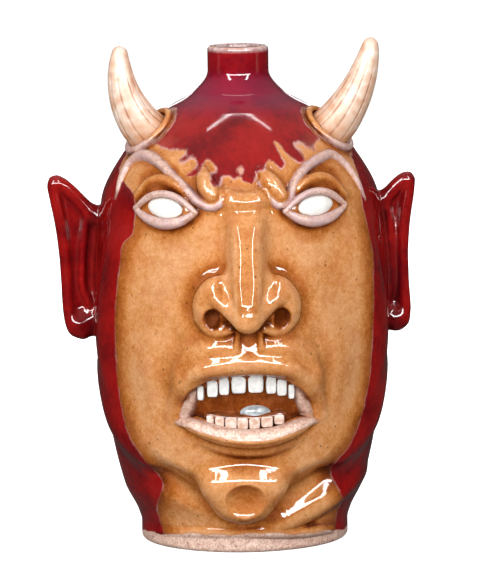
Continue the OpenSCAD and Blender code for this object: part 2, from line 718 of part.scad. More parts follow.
module upper_tooth_block(i, clear) {
    middle_w = 1.05;
    end_w = 0.72;
    x = (i - (upper_teeth + 1) / 2) * upper_pitch;
    w = (upper_pitch - tooth_gap) * mix(middle_w, end_w, (abs(x) / upper_gum_reach)^2);
    chip(x, upper_gum_z(x) - gum_half_w, w, -tooth_root, -upper_tooth_len, clear);
}

module lower_tooth_block(i, clear) {
    x = (i - (lower_teeth + 1) / 2) * lower_pitch;
    chip(x, lower_gum_z(x) + gum_half_w, lower_pitch - tooth_gap, tooth_root, lower_tooth_len, clear);
}

module upper_tooth(i) { color(china) upper_tooth_block(i, 0); }

module lower_tooth(i) { color(china) lower_tooth_block(i, 0); }

// Tongue: a low mound behind the lower teeth
tongue_half_h = 2.8;
module tongue() {
    z = lower_gum_z(0) + gum_half_w + lower_tooth_len + lip_gap + tongue_half_h;
    color(tongue_glaze) pad(mouth_x + face_shift, z, oval(tongue_half_w, tongue_half_h), dome(tongue_rise),
        sides = 24, rings = 4);
}

jug_body();
handle();
left_ear();
right_ear();
left_horn();
right_horn();
horn_collar(left);  // left_horn_collar
horn_collar(right);  // right_horn_collar
brow(left);  // left_brow
brow(right);  // right_brow
frown_pad(left);  // left_frown_pad
frown_pad(right);  // right_frown_pad
upper_lid(left);  // left_upper_lid
upper_lid(right);  // right_upper_lid
lower_lid(left);  // left_lower_lid
lower_lid(right);  // right_lower_lid
eyeball(left);  // left_eyeball
eyeball(right);  // right_eyeball
nose();
nostril(left);  // left_nostril
nostril(right);  // right_nostril
cheek(left);  // left_cheek
cheek(right);  // right_cheek
jaw(left);  // left_jaw
jaw(right);  // right_jaw
chin();
upper_lip();
lower_lip();
mouth_corner(left);  // left_mouth_corner
mouth_corner(right);  // right_mouth_corner
upper_gum();
lower_gum();
tongue();
for (i = [1 : upper_teeth]) upper_tooth(i);
for (i = [1 : lower_teeth]) lower_tooth(i);
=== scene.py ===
"""Looks of a devil face jug: glazed and bare stoneware, china teeth and white clay horns and eyes.

Lengths are millimetres in the jug's own frame, with +Z up and the face looking along -Y, and become metres
in each mesh. Left and right are as the viewer sees them, so left is -X.
"""
import math
from collections import namedtuple
from functools import partial

import bpy
import numpy as np
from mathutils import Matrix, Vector
from mathutils.geometry import delaunay_2d_cdt


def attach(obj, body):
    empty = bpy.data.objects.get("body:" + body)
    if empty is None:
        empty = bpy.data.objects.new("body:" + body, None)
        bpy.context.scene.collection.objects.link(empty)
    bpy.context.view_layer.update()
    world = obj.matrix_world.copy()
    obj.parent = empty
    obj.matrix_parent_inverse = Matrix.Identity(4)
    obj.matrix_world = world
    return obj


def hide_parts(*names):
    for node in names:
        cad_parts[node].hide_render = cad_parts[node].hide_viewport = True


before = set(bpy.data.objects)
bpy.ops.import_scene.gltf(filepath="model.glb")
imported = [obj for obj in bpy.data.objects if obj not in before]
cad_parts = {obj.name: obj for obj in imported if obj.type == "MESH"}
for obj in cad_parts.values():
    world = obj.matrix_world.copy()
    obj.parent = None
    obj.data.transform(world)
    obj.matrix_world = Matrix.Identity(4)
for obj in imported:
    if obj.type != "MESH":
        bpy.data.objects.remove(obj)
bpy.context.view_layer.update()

MM = 0.001
LEFT, RIGHT = -1, 1
SIDES = ((LEFT, "left"), (RIGHT, "right"))

# Thrown wall

STATIONS = [(0, 54.5), (9, 54.5), (15, 56), (30, 63.2), (68, 71.2), (135, 77), (180, 73), (205, 60.5),
            (228, 37), (236, 23.8), (247, 16), (260, 16)]
JUG_H = 260
WALL_T = 6
FLOOR_T = 9
FOOT_EDGE = 2.5
BORE_R = 12.5
BORE_LOW = 236
NECK_R = 16
TABLE_STEP = 0.25


def wall_table():
    """Radius of the wall at even steps of height: a smooth curve that never overshoots the stations."""
    z, r = np.array(STATIONS, float).T
    h = np.diff(z)
    secant = np.diff(r) / h
    lean = np.zeros(len(z))
    same = secant[:-1] * secant[1:] > 0
    product = 2 * secant[:-1] * secant[1:]
    lean[1:-1][same] = product[same] / (secant[:-1] + secant[1:])[same]
    at = np.arange(0, JUG_H + TABLE_STEP, TABLE_STEP)
    i = np.clip(np.searchsorted(z, at, side="right") - 1, 0, len(h) - 1)
    t = np.clip((at - z[i]) / h[i], 0, 1)
    radius = (r[i] * (2 * t**3 - 3 * t**2 + 1) + lean[i] * h[i] * (t**3 - 2 * t**2 + t)
              + r[i + 1] * (3 * t**2 - 2 * t**3) + lean[i + 1] * h[i] * (t**3 - t**2))
    return at, radius


TABLE_Z, TABLE_R = wall_table()
TABLE_SLOPE = np.gradient(TABLE_R, TABLE_STEP)
TABLE_COS = 1 / np.sqrt(1 + TABLE_SLOPE**2)


def wall_radius(z):
    """Radius of the wall at heights."""
    return np.interp(z, TABLE_Z, TABLE_R)


def on_wall(turn, z, lift):
    """Point at an angle from the face, in radians towards +X, and a height, lifted off the wall."""
    slope = np.interp(z, TABLE_Z, TABLE_SLOPE)
    cosine = np.interp(z, TABLE_Z, TABLE_COS)
    r = wall_radius(z) + lift * cosine
    return np.stack([r * np.sin(turn), -r * np.cos(turn), z - lift * slope * cosine], -1)


def lift_of(p):
    """Height of points above the wall."""
    rho = np.hypot(p[..., 0], p[..., 1])
    return (rho - wall_radius(p[..., 2])) * np.interp(p[..., 2], TABLE_Z, TABLE_COS)


def seen(x, z, lift):
    """Point at a lift off the wall that a viewer in front sees at x and z."""
    low = z
    for _ in range(6):
        low = z + lift * np.interp(low, TABLE_Z, TABLE_SLOPE) * np.interp(low, TABLE_Z, TABLE_COS)
    r = wall_radius(low) + lift * np.interp(low, TABLE_Z, TABLE_COS)
    return on_wall(math.asin(max(-0.999, min(0.999, x / r))), low, lift)


def spline(points, count):
    """A smooth curve of count points through a few points."""
    p = np.array(points, float)
    s = np.linspace(0, len(p) - 1, count)
    i = np.minimum(s.astype(int), len(p) - 2)
    t = (s - i)[:, None]
    a, b = p[np.maximum(i - 1, 0)], p[i]
    c, d = p[i + 1], p[np.minimum(i + 2, len(p) - 1)]
    return 0.5 * (2 * b + (c - a) * t + (2 * a - 5 * b + 4 * c - d) * t**2 + (3 * b - a - 3 * c + d) * t**3)


def smooth_step(v, low, high):
    """A soft step from 0 at one value to 1 at another."""
    t = np.clip((v - low) / (high - low), 0, 1)
    return t * t * (3 - 2 * t)


# Forms of the clay: each gives a distance from points to its surface, and the reach within which it matters

Form = namedtuple("Form", "piece distance centre reach blend cut beside")
forms = []
# A form is worked out this much further out than it can touch
REACH_SPARE = 3


def add_form(piece, distance, centre, reach, blend, cut=False, beside=None):
    """Adds a form: beside names the pieces to its left and right, and how far out they start."""
    forms.append(Form(piece, distance, np.array(centre, float), reach, blend, cut, beside))


def near_form(form, p, spare=0):
    """Numbers of the points that lie within a form's reach."""
    return np.flatnonzero(((p - form.centre)**2).sum(1) < (form.reach + spare)**2)


def strand(piece, line, blend, steps=20, cut=False):
    """A roll of clay along points of x, z, lift and radius, as a viewer in front sees them."""
    smooth = spline(line, steps + 1)
    spots = np.array([seen(x, z, lift) for x, z, lift, r in smooth])
    chain(piece, spots, smooth[:, 3], blend, cut)


def chain(piece, spots, radii, blend, cut=False):
    """A roll of clay along points in space, with a radius at each."""
    a, b = spots[:-1], spots[1:]
    ab = b - a
    length2 = np.maximum((ab**2).sum(1), 1e-9)

    def distance(p):
        best = np.full(len(p), np.inf)
        for i in range(len(a)):
            ap = p - a[i]
            t = np.clip(ap @ ab[i] / length2[i], 0, 1)
            gap = ap - t[:, None] * ab[i]
            best = np.minimum(best, np.sqrt((gap**2).sum(1)) - (radii[i] + t * (radii[i + 1] - radii[i])))
        return best

    centre = (spots.min(0) + spots.max(0)) / 2
    reach = np.sqrt(((spots - centre)**2).sum(1)).max() + radii.max() + 2 * blend + REACH_SPARE
    add_form(piece, distance, centre, reach, blend, cut)


def mound(piece, x, z, lift, half_w, half_h, out, blend, tilt=0, cut=False):
    """An egg of clay pressed on the wall at a spot, by its half width, height and depth."""
    centre = seen(x, z, lift)
    turn = math.atan2(centre[0], -centre[1])
    slope = float(np.interp(centre[2], TABLE_Z, TABLE_SLOPE))
    cosine = 1 / math.sqrt(1 + slope * slope)
    across = np.array([math.cos(turn), math.sin(turn), 0])
    normal = np.array([math.sin(turn) * cosine, -math.cos(turn) * cosine, -slope * cosine])
    up = np.cross(across, normal) * -1
    c, s = math.cos(math.radians(tilt)), math.sin(math.radians(tilt))
    axes = np.array([c * across + s * up, c * up - s * across, normal]).T
    radii = np.array([half_w, half_h, out], float)

    def distance(p):
        q = (p - centre) @ axes
        k0 = np.sqrt(((q / radii)**2).sum(1))
        k1 = np.sqrt(((q / radii**2)**2).sum(1))
        return k0 * (k0 - 1) / np.maximum(k1, 1e-6)

    add_form(piece, distance, centre, radii.max() + 2 * blend + REACH_SPARE, blend, cut)


def outline_distance(x, z, outline):
    """Signed distance from points to a closed outline in a plane, negative inside."""
    best = np.full(len(x), np.inf)
    inside = np.zeros(len(x), bool)
    for (ax, az), (bx, bz) in zip(outline, np.roll(outline, -1, axis=0)):
        ex, ez = bx - ax, bz - az
        px, pz = x - ax, z - az
        t = np.clip((px * ex + pz * ez) / (ex * ex + ez * ez), 0, 1)
        best = np.minimum(best, (px - t * ex)**2 + (pz - t * ez)**2)
        crosses = (az > z) != (bz > z)
        inside ^= crosses & (px < ex * pz / (ez if abs(ez) > 1e-9 else 1e-9))
    return np.where(inside, -1, 1) * np.sqrt(best)


def round_edged(sides, radius):
    """Distance to a form with round edges, from the distances to its sides."""
    q = np.stack(sides, -1) + radius
    return np.sqrt((np.maximum(q, 0)**2).sum(1)) + np.minimum(q.max(1), 0) - radius


# Face: cheeks, jaw and chin

FACE_X = 2.5

# Under the jaw the wall is pressed in: deeper on the right, where the lower side of the hollow faces up
JAW_HOLLOW = {
    "left": [(-55, 45.5, 4.6, 6), (-41, 37, 4.8, 7.6), (-27, 27.5, 5, 7.8), (-16, 19, 6, 6)],
    "right": [(57, 46.6, 4.8, 6.4), (47, 40.4, 3.6, 7.8), (36, 33.6, 3.4, 8.2), (26, 27.6, 3.4, 8),
              (18.5, 23.2, 3.8, 7), (12.5, 18, 6.2, 5)]}
# A ridge of clay lies below the hollow on the right
strand("jug_body", [(11, 14, -6, 6), (18, 15.8, -4, 7), (28, 20, -3.6, 7.4), (40, 26, -3.4, 7.6),
                    (50, 31.6, -3.8, 7.2), (58, 36, -6, 6)], blend=4, steps=18)

for side, name in SIDES:
    strand(f"{name}_cheek", [(side * 45, 152, -22, 25), (side * 50, 122, -21.5, 26),
                             (side * 49, 94, -21, 25.5), (side * 44, 76, -20, 25)], blend=7)
    strand(None, JAW_HOLLOW[name], blend=2.4, steps=16, cut=True)
    strand(f"{name}_jaw", [(side * 66, 92, -8, 9), (side * 62, 72, -6, 10), (side * 55, 61, -6, 10.5),
                           (side * 46, 54.5, -6.4, 11)], blend=8)

JAW_LINE = [(-66, 112), (-66, 90), (-62.5, 71), (-54, 57.5), (-44, 49.5), (-33, 45), (-24, 41), (-10, 38),
            (10, 38), (23, 40.5), (31, 43.5), (43, 47.5), (54, 56), (62.5, 69), (67, 90), (67, 112),
            (40, 132), (-40, 132)]
JAW_RISE = 5.4
# Heights between which the pad fades up into the cheeks
JAW_FADE = (90, 128)
# At the sides, from this far out and this high, the pad stands lower
JAW_SIDE, JAW_SIDE_Z, JAW_SIDE_DROP = (46, 66), (60, 84), 0.75
JAW_EDGE_R = 4.6
JAW_START = 24
jaw_outline = np.array(JAW_LINE, float)


def lower_face_distance(p):
    """The lower face stands off the wall as one pad with a round edge along the jaw."""
    x, z = p[:, 0], p[:, 2]
    drop = JAW_SIDE_DROP * smooth_step(np.abs(x), *JAW_SIDE) * smooth_step(z, *JAW_SIDE_Z)
    rise = JAW_RISE * (1 - smooth_step(z, *JAW_FADE)) * (1 - drop)
    return round_edged([outline_distance(x, z, jaw_outline), lift_of(p) - rise], JAW_EDGE_R)


add_form("chin", lower_face_distance, seen(0, 75, 0), reach=88, blend=5,
         beside=("left_jaw", "right_jaw", JAW_START))
strand("chin", [(-13.5, 38.4, 2.6, 9.6), (-0.3, 39.2, 3.8, 10), (13, 38.4, 2.6, 9.6)], blend=6, steps=10)
strand("chin", [(-6, 30, 2.6, 11), (-0.6, 29, 3, 11.4), (4.8, 30, 2.6, 11)], blend=6, steps=10)
mound("chin", x=0.8, z=30.4, lift=16, half_w=12.2, half_h=10.6, out=6, blend=0.6, cut=True)

# Eye sockets under the brows, then the folds above the lids

for side in (LEFT, RIGHT):
    mound(None, side * 44, z=198, lift=3, half_w=12, half_h=6, out=6, blend=4, tilt=side * -12, cut=True)
    mound(None, side * 39, z=168.5, lift=5.5, half_w=15, half_h=4.5, out=5, blend=4, cut=True)
for side, name in SIDES:
    strand(f"{name}_upper_lid", [(side * 53, 186, -0.8, 2.2), (side * 47, 193, 0.3, 3),
                                 (side * 40, 195.6, 0.5, 3.2), (side * 33, 193.2, 0.3, 2.8),
                                 (side * 26, 187, -0.6, 2)], blend=3)

# Muzzle with the open mouth, then the lips round it

UPPER_EDGE = [(-33.5, 73.5), (-30.6, 84), (-27, 89.6), (-19.2, 94.4), (-9, 97), (2.3, 98.6), (14, 97),
              (24.1, 93.8), (31.5, 88), (34.6, 82), (36.5, 74)]
LOWER_EDGE = [(28, 74.4), (16.2, 69.8), (3.4, 68.6), (-9.4, 70.2), (-24, 75.4)]
MOUTH_FLOOR = 0.8
mouth_outline = np.array(UPPER_EDGE + LOWER_EDGE)
mound("upper_lip", FACE_X, z=96, lift=-1, half_w=38, half_h=20, out=10, blend=8)


def mouth_distance(p):
    """The open mouth: its outline cut down to a floor just above the wall."""
    flat = outline_distance(p[:, 0], p[:, 2], mouth_outline)
    return np.maximum(flat, MOUTH_FLOOR - lift_of(p))


add_form(None, mouth_distance, seen(FACE_X, 85, 8), reach=52, blend=1.5, cut=True)
strand("upper_lip", [(-36.3, 74, 2.5, 2.8), (-34.6, 83, 4, 3.4), (-30.5, 92, 6.4, 4.2),
                     (-21.5, 100, 9.4, 5.2), (-10, 103, 10, 5.8), (2.3, 104, 9.8, 6),
                     (14, 103.2, 10.2, 5.8), (25.5, 100, 9.6, 5.2), (34.5, 91, 6.4, 4.2),
                     (38.4, 82.5, 4, 3.4), (39.6, 74, 2.5, 2.8)], blend=3, steps=30)
strand("upper_lip", [(-30, 106, -3, 6), (-15, 114, 1.4, 7), (FACE_X, 117, 4, 7), (20, 114, 1.4, 7),
                     (35, 106, -3, 6)], blend=6)
strand("upper_lip", [(-25, 119.5, -2.4, 5.4), (-12, 122.5, 0, 6), (FACE_X, 123.5, 2, 6), (17, 122.5, 0, 6),
                     (30, 119.5, -2.4, 5.4)], blend=6)
for side in (LEFT, RIGHT):
    at = FACE_X + 0.7
    strand("upper_lip", [(at + side * 6, 109.6, 6, 7.4), (at + side * 9.6, 110.6, 5.2, 8.2),
                         (at + side * 14.4, 110.8, 4.4, 8.6), (at + side * 20, 109.4, 3.8, 8.4),
                         (at + side * 27, 106, 1.6, 7.8)], blend=3, steps=14)
strand("lower_lip", [(-36.5, 71.6, 3, 1.2), (-30, 71.8, 5, 2.9), (-20.5, 68.6, 7.4, 4.4),
                     (-9, 65.6, 9, 4.9), (3.3, 64.2, 9.4, 5.1), (15, 65, 9, 4.9), (25.5, 67.8, 7.4, 4.4),
                     (33.5, 71, 5, 2.9), (39.5, 71, 3, 1.2)], blend=1.6, steps=28)
strand("lower_lip", [(-26, 65.4, 2, 3), (-10, 60, 4.6, 4.2), (3.3, 58.4, 5.2, 4.4), (16, 59.6, 4.6, 4.2),
                     (30, 65, 2, 3)], blend=3)
# A bead of glaze ends the glazed underside of the lower lip
strand("lower_lip", [(-23, 67.6, 10.9, 0.6), (-9, 64.4, 13.4, 0.9), (3.3, 63, 14, 1), (15, 63.8, 13.4, 0.9),
                     (27, 66.8, 10.9, 0.6)], blend=1.2, steps=24)
for side, name in SIDES:
    middle = FACE_X - 1 + side * 28.6
    strand(f"{name}_mouth_corner", [(middle + side * 3, 75, 2.2, 3.4),
                                    (middle + side * 0.8, 81.5, 2.4, 3.6),
                                    (middle - side * 1.4, 88, 2.2, 3)], blend=1, steps=8)

# Nose: a ridge with steep sides, two wings with hollow nostrils, and the ridges down to the lip

NOSE_Z = [119, 124, 130, 136, 147, 160, 168, 174, 179, 184, 190]
NOSE_OUT = [24, 26, 25.8, 24.2, 20, 14.4, 10.8, 8.2, 5, 1.2, -5]
NOSE_TOP = [3.4, 3.4, 4.2, 5.4, 6.6, 6, 6.4, 7.6, 8, 6, 5]
NOSE_BASE = [9, 10.5, 12, 12.6, 12.2, 11.4, 11, 11, 10.6, 8.6, 7]
NOSE_BOTTOM = (126.5, 120.2)
NOSE_ROUND = 4.4
NOSE_X = FACE_X + 0.6
NOSTRIL_HOLE = [(17.6, 124, 16.5), (18, 127, 12), (17.8, 130.5, 8.4)]
NOSTRIL_HOLE_R = np.array([3.6, 4, 3.2])


def nose_distance(p):
    """The nose: its half width narrows from the wall out to the ridge, and its underside slopes."""
    x, z = np.abs(p[:, 0] - NOSE_X), p[:, 2]
    out = -p[:, 1] - np.sqrt(np.maximum(wall_radius(z)**2 - p[:, 0]**2, 1))
    ridge = np.interp(z, NOSE_Z, NOSE_OUT)
    share = np.clip(out / np.maximum(ridge, 0.5), 0, 1)
    half = np.interp(z, NOSE_Z, NOSE_BASE) * (1 - share) + np.interp(z, NOSE_Z, NOSE_TOP) * share
    bottom = NOSE_BOTTOM[0] + (NOSE_BOTTOM[1] - NOSE_BOTTOM[0]) * share
    return round_edged([x - half, out - ridge, bottom - z], NOSE_ROUND)


add_form("nose", nose_distance, seen(FACE_X, 148, 8), reach=52, blend=4)
strand("nose", [(-8, 187, -3, 5.4), (-2, 185.2, -1.6, 6.2), (3, 184.4, -1.4, 6.2), (8, 185.4, -1.6, 6.2),
                (13, 187.4, -3, 5.4)], blend=3)
for side, name in SIDES:
    at = FACE_X + 0.2
    strand(f"{name}_nostril", [(at + side * 11.5, 143, 6.4, 5.4), (at + side * 16.4, 141.4, 5.8, 7),
                               (at + side * 19.6, 135, 4.6, 8), (at + side * 19.4, 130, 5.2, 7.2),
                               (at + side * 14.5, 125.6, 8, 4.2)], blend=7)
    strand("nose", [(at + side * 3, 127, 20, 4), (at + side * 8.5, 132, 14.5, 4.2),
                    (at + side * 14.5, 137.5, 10.5, 4.6)], blend=4, steps=8)
    strand(f"{name}_nostril", [(at + side * 23, 127, 6.2, 3), (at + side * 19, 121.6, 8, 2.8),
                               (at + side * 13.4, 120.4, 10, 2.5),
                               (at + side * 8.4, 122, 12.6, 2.2)], blend=2.5, steps=12)
    hole = [(at + side * x, z, lift) for x, z, lift in NOSTRIL_HOLE]
    chain(f"{name}_nostril", np.array([seen(*spot) for spot in hole]), NOSTRIL_HOLE_R, blend=1.5, cut=True)
    at = FACE_X + 1
    strand("upper_lip", [(at + side * 5.4, 121, 11.4, 1.3), (at + side * 6, 116, 12, 1.5),
                         (at + side * 6.4, 112, 12.4, 1.5)], blend=1.5, steps=8)

# Brows hooked round the frown pads, lids and the collars of the horns

LEFT_BROW = [(-63.8, 184, -0.8, 1.1), (-61.4, 193, -0.2, 2.2), (-57.4, 200.4, -0.2, 2.7),
             (-52.2, 205.2, -0.2, 3), (-47, 206.2, -0.2, 3), (-40.6, 203.2, -0.1, 2.6),
             (-35, 197.9, 0, 2.3), (-28.2, 192.3, 0.2, 2.2), (-22.6, 186.6, 0.4, 2.1),
             (-15.4, 183, 0.6, 2), (-9.8, 185.2, 0.6, 1.9), (-6.4, 190.6, 0.2, 1.4)]
RIGHT_BROW = [(64.2, 181.5, -0.8, 1.1), (61.3, 189.6, -0.2, 1.9), (58, 195.2, -0.2, 2.2),
              (53.4, 200.9, -0.2, 2.4), (47.4, 205.6, -0.2, 2.6), (42.4, 205, -0.2, 2.5),
              (36.4, 202.1, -0.1, 2.3), (31, 198, 0.1, 2.2), (27.6, 193.3, 0.3, 2.1),
              (25.6, 187.8, 0.5, 2), (20.4, 183.3, 0.6, 1.9), (15.2, 187.3, 0.5, 1.8),
              (10.6, 195, 0.2, 1.4)]
strand("left_brow", LEFT_BROW, blend=1.1, steps=40)
strand("right_brow", RIGHT_BROW, blend=1.1, steps=40)
strand("left_frown_pad", [(-19, 200.6, 0.4, 2.8), (-17, 194, 1.2, 5.2), (-14.2, 188.8, 1, 4.4)], blend=2,
       steps=10)
strand("right_frown_pad", [(11.6, 200.4, 0.4, 2.4), (16.4, 193.8, 1, 4.8), (20.6, 188.4, 0.8, 4)], blend=2,
       steps=10)

UPPER_LID = [(-15.4, -0.4, 2, 1.4), (-8.4, 5.8, 3, 1.8), (-0.8, 7.8, 3.4, 1.9), (7, 5.6, 3, 1.8),
             (15.6, -1.2, 2, 1.4)]
LOWER_LID = [(-14.4, -2, 1.6, 1.6), (-8, -5.8, 2.4, 2.6), (0, -7.4, 2.6, 2.9), (7.6, -5.8, 2.4, 2.6),
             (14.6, -2, 1.6, 1.6)]
EYES = {"left": (-38.4, 181.6, 1), "right": (38.6, 181.8, -1)}
for name, (eye_x, eye_z, outward) in EYES.items():
    for lid, line in (("upper_lid", UPPER_LID), ("lower_lid", LOWER_LID)):
        strand(f"{name}_{lid}", [(eye_x + outward * dx, eye_z + dz, lift, r) for dx, dz, lift, r in line],
               blend=0.9)

HORN_R = 12
HORN_TURN = math.radians(70)
HORN_ROOT_Z = 216.5
COLLAR_R = 1.9
COLLAR_LIFT = 1.6
HORN_TIPS = {"left": (-61, -22, 262.5), "right": (69.5, -22, 265)}


def horn_circle(side, r, lift, count):
    """Points on the shoulder round the middle of a horn's root."""
    a = np.linspace(0, 2 * np.pi, count + 1)
    z = HORN_ROOT_Z + r * np.sin(a) * np.interp(HORN_ROOT_Z, TABLE_Z, TABLE_COS)
    return on_wall(side * HORN_TURN + r * np.cos(a) / wall_radius(z), z, lift)


for side, name in SIDES:
    ring = horn_circle(side, HORN_R + COLLAR_R, COLLAR_LIFT, 32)
    chain(f"{name}_horn_collar", ring, np.full(len(ring), COLLAR_R), blend=1.5)

# Ears: a cupped plate with a rolled rim, an inner fold and a lobe, drawn as distances from the middle

EARS = {
    "left": {
        "side": LEFT,
        "outline": [(62, 112), (62, 172), (74, 173.5), (82, 177.5), (90.5, 186.5), (96.5, 192.4),
                    (99.6, 191.4), (100.6, 187), (98, 175), (95.6, 160), (94.4, 145), (93.6, 128),
                    (92.8, 117), (89.8, 109.4), (84, 106.4), (77, 108)],
        "rim": [(73, 172.5), (81, 176), (88.5, 182.6), (94.6, 189.4), (98, 188.4), (97, 180), (94.6, 168),
                (92.6, 152), (91.6, 136), (91, 122), (88.6, 112.6), (83.6, 109.6)],
        "roll": [(76, 170), (81, 174.6), (86.4, 181), (91.6, 186), (96, 188)],
        "fold": [(80.5, 172), (82.6, 160), (83.6, 146), (83.6, 134), (80, 125)],
        "lobe": (85.6, 114, 7)},
    "right": {
        "side": RIGHT,
        "outline": [(62, 112), (62, 178), (73.6, 179), (80, 184), (86, 190.2), (89.6, 191.4), (91.8, 188.4),
                    (90.6, 178), (88.6, 165), (87.6, 150), (88, 132), (88.8, 120), (87.6, 112.6),
                    (83, 108.8), (76, 109.4)],
        "rim": [(72.6, 178), (79, 181.4), (85, 187.6), (88.8, 188), (88.4, 180), (86.4, 168), (85, 152),
                (85, 136), (85.8, 122), (84.6, 114), (80.6, 111.6)],
        "roll": [(73.6, 175.6), (77.6, 179), (82, 183.6), (86.4, 186.8)],
        "fold": [(76.6, 177), (78.6, 164), (79.2, 148), (78.8, 134), (76, 124)],
        "lobe": (81.4, 115, 6.4)}}
EAR_TURN = math.radians(93)
EAR_LEAN = math.radians(7)
EAR_LOW, EAR_HIGH = 106, 192
EAR_ROOT_HIGH = 175
EAR_T = 2.4
EAR_CUP = 6.5
EAR_START, EAR_WIDTH = 74, 26
EAR_MIDDLE, EAR_REACH = (84, 150), 62
# Radius of each roll, how far it stands forward, its blend and its steps
EAR_ROLLS = {"rim": (2.8, 2, 2.5, 36), "roll": (3.6, 2.4, 2, 16), "fold": (2.3, 3, 2.2, 16)}
LOBE_ROOT = 7


def ear_middle(x, z):
    """Depth of the ear's plate at a distance from the axis and a height: it leans and curls forward."""
    turn = EAR_TURN + EAR_LEAN * (np.clip((z - EAR_LOW) / (EAR_HIGH - EAR_LOW), 0, 1) - 0.5)
    root = -wall_radius(np.clip(z, EAR_LOW, EAR_ROOT_HIGH)) * np.cos(turn)
    share = np.clip((x - EAR_START) / EAR_WIDTH, 0, 1)
    return root - EAR_CUP * share**2


def ear(name):
    """Adds the forms of one ear: its plate, the rolls on it and the lobe."""
    shape = EARS[name]
    side = shape["side"]
    outline = np.array(shape["outline"], float)

    def distance(p):
        x, z = side * p[:, 0], p[:, 2]
        depth = np.abs(p[:, 1] - ear_middle(x, z)) - EAR_T
        return round_edged([outline_distance(x, z, outline), depth], EAR_T)

    x, z = EAR_MIDDLE
    add_form(f"{name}_ear", distance, (side * x, ear_middle(x, z), z), EAR_REACH, blend=4)
    for roll, (radius, forward, blend, steps) in EAR_ROLLS.items():
        x, z = spline(shape[roll], steps).T
        spots = np.stack([side * x, ear_middle(x, z) - forward, z], -1)
        chain(f"{name}_ear", spots, np.full(steps, radius), blend)
    x, z, radius = shape["lobe"]
    root = x - LOBE_ROOT
    lobe = np.array([[side * x, ear_middle(x, z) - 1, z], [side * root, ear_middle(root, z) + 0.5, z + 3]])
    chain(f"{name}_ear", lobe, np.array([radius * 0.75, radius * 0.8]), blend=4)


ear("left")
ear("right")

# The glaze ends above the foot in a thick bead

strand("jug_body", [(-44, 8.3, -2.6, 3.4), (-30, 10, -3, 4.2), (-15, 11.2, -3, 4.4), (0, 11.4, -3, 4.4),
                    (15, 11.2, -1.6, 4.4), (30, 10, -1, 4.2), (44, 8.3, -1.8, 3.4)], blend=0.6, steps=40)

# The clay's surface: all forms joined softly, sampled on a grid round the wall

PIECES = ["jug_body"] + sorted({form.piece for form in forms if form.piece} - {"jug_body"})
PIECE_ID = {name: i for i, name in enumerate(PIECES)}
# A cut that comes this near to the wall lays the jug's body bare
BARED = 1.6


def clay(p, with_piece=False):
    """Distance from points to the clay's surface, and the piece that each point belongs to."""
    d = lift_of(p)
    ground = d.copy()
    best = d.copy()
    piece = np.zeros(len(p), int)
    low, high = p.min(0), p.max(0)
    for form in forms:
        if (form.centre + form.reach < low).any() or (form.centre - form.reach > high).any():
            continue
        near = near_form(form, p)
        if len(near) == 0:
            continue
        own = -form.distance(p[near]) if form.cut else form.distance(p[near])
        here = d[near]
        share = np.maximum(form.blend - np.abs(here - own), 0) / form.blend
        if form.cut:
            d[near] = np.maximum(here, own) + share * share * form.blend / 4
            opened = near[own > best[near]]
            piece[opened[ground[opened] < BARED]] = 0
            best[near] = np.maximum(best[near], own)
            continue
        d[near] = np.minimum(here, own) - share * share * form.blend / 4
        if with_piece:
            nearer = own < best[near]
            best[near[nearer]] = own[nearer]
            mine = near[nearer]
            piece[mine] = PIECE_ID[form.piece]
            if form.beside:
                left_piece, right_piece, start = form.beside
                piece[mine[p[mine, 0] < -start]] = PIECE_ID[left_piece]
                piece[mine[p[mine, 0] > start]] = PIECE_ID[right_piece]
    return (d, piece) if with_piece else d


def clay_and_piece(p):
    """The same with the pieces, for work in blocks."""
    return clay(p, with_piece=True)


def in_blocks(work, p, size=6000):
    """Runs a function on blocks of points that lie near each other."""
    order = np.lexsort((p[:, 2], np.floor(np.arctan2(p[:, 0], -p[:, 1]) * 8)))
    out = [work(p[order[i:i + size]]) for i in range(0, len(p), size)]
    back = np.empty(len(p), int)
    back[order] = np.arange(len(p))
    if isinstance(out[0], tuple):
        return tuple(np.concatenate(part)[back] for part in zip(*out))
    return np.concatenate(out)[back]


def slope_of(p, step=0.12):
    """Gradient of the clay's distance at points."""
    shifts = np.eye(3) * step
    return np.stack([in_blocks(clay, p + s) - in_blocks(clay, p - s) for s in shifts], -1) / (2 * step)


def settle(p, rounds=3):
    """Moves points on to the clay's surface."""
    for _ in range(rounds):
        g = slope_of(p)
        d = in_blocks(clay, p)
        p = p - (np.clip(d, -1, 1) / np.maximum((g**2).sum(1), 0.2))[:, None] * g
    return p


def graded(spans):
    """Even steps within each span, given as start, end and step."""
    parts = [np.linspace(a, b, max(2, round((b - a) / step) + 1))[:-1] for a, b, step in spans]
    return np.concatenate(parts + [[spans[-1][1]]])


COARSE = 1
BELLY_R = 77
FINE, SIDE_FINE, BACK = 0.9 * COARSE, 1.15 * COARSE, 2.6 * COARSE
front_arc, side_arc, ear_arc = (math.radians(a) * BELLY_R for a in (44, 82, 106))
half_turn = graded([(0, front_arc, FINE), (front_arc, side_arc, SIDE_FINE), (side_arc, ear_arc, FINE),
                    (ear_arc, math.pi * BELLY_R, BACK)]) / BELLY_R
GRID_TURN = np.concatenate([-half_turn[:0:-1], half_turn[:-1]])
GRID_LOW, GRID_HIGH = 3.6, 234
GRID_Z = graded([(GRID_LOW, 213, FINE), (213, GRID_HIGH, 1.2 * COARSE)])
GRID_LIFT = graded([(-5.3, 12, 0.9 * COARSE), (12, 38, 1.2 * COARSE)])


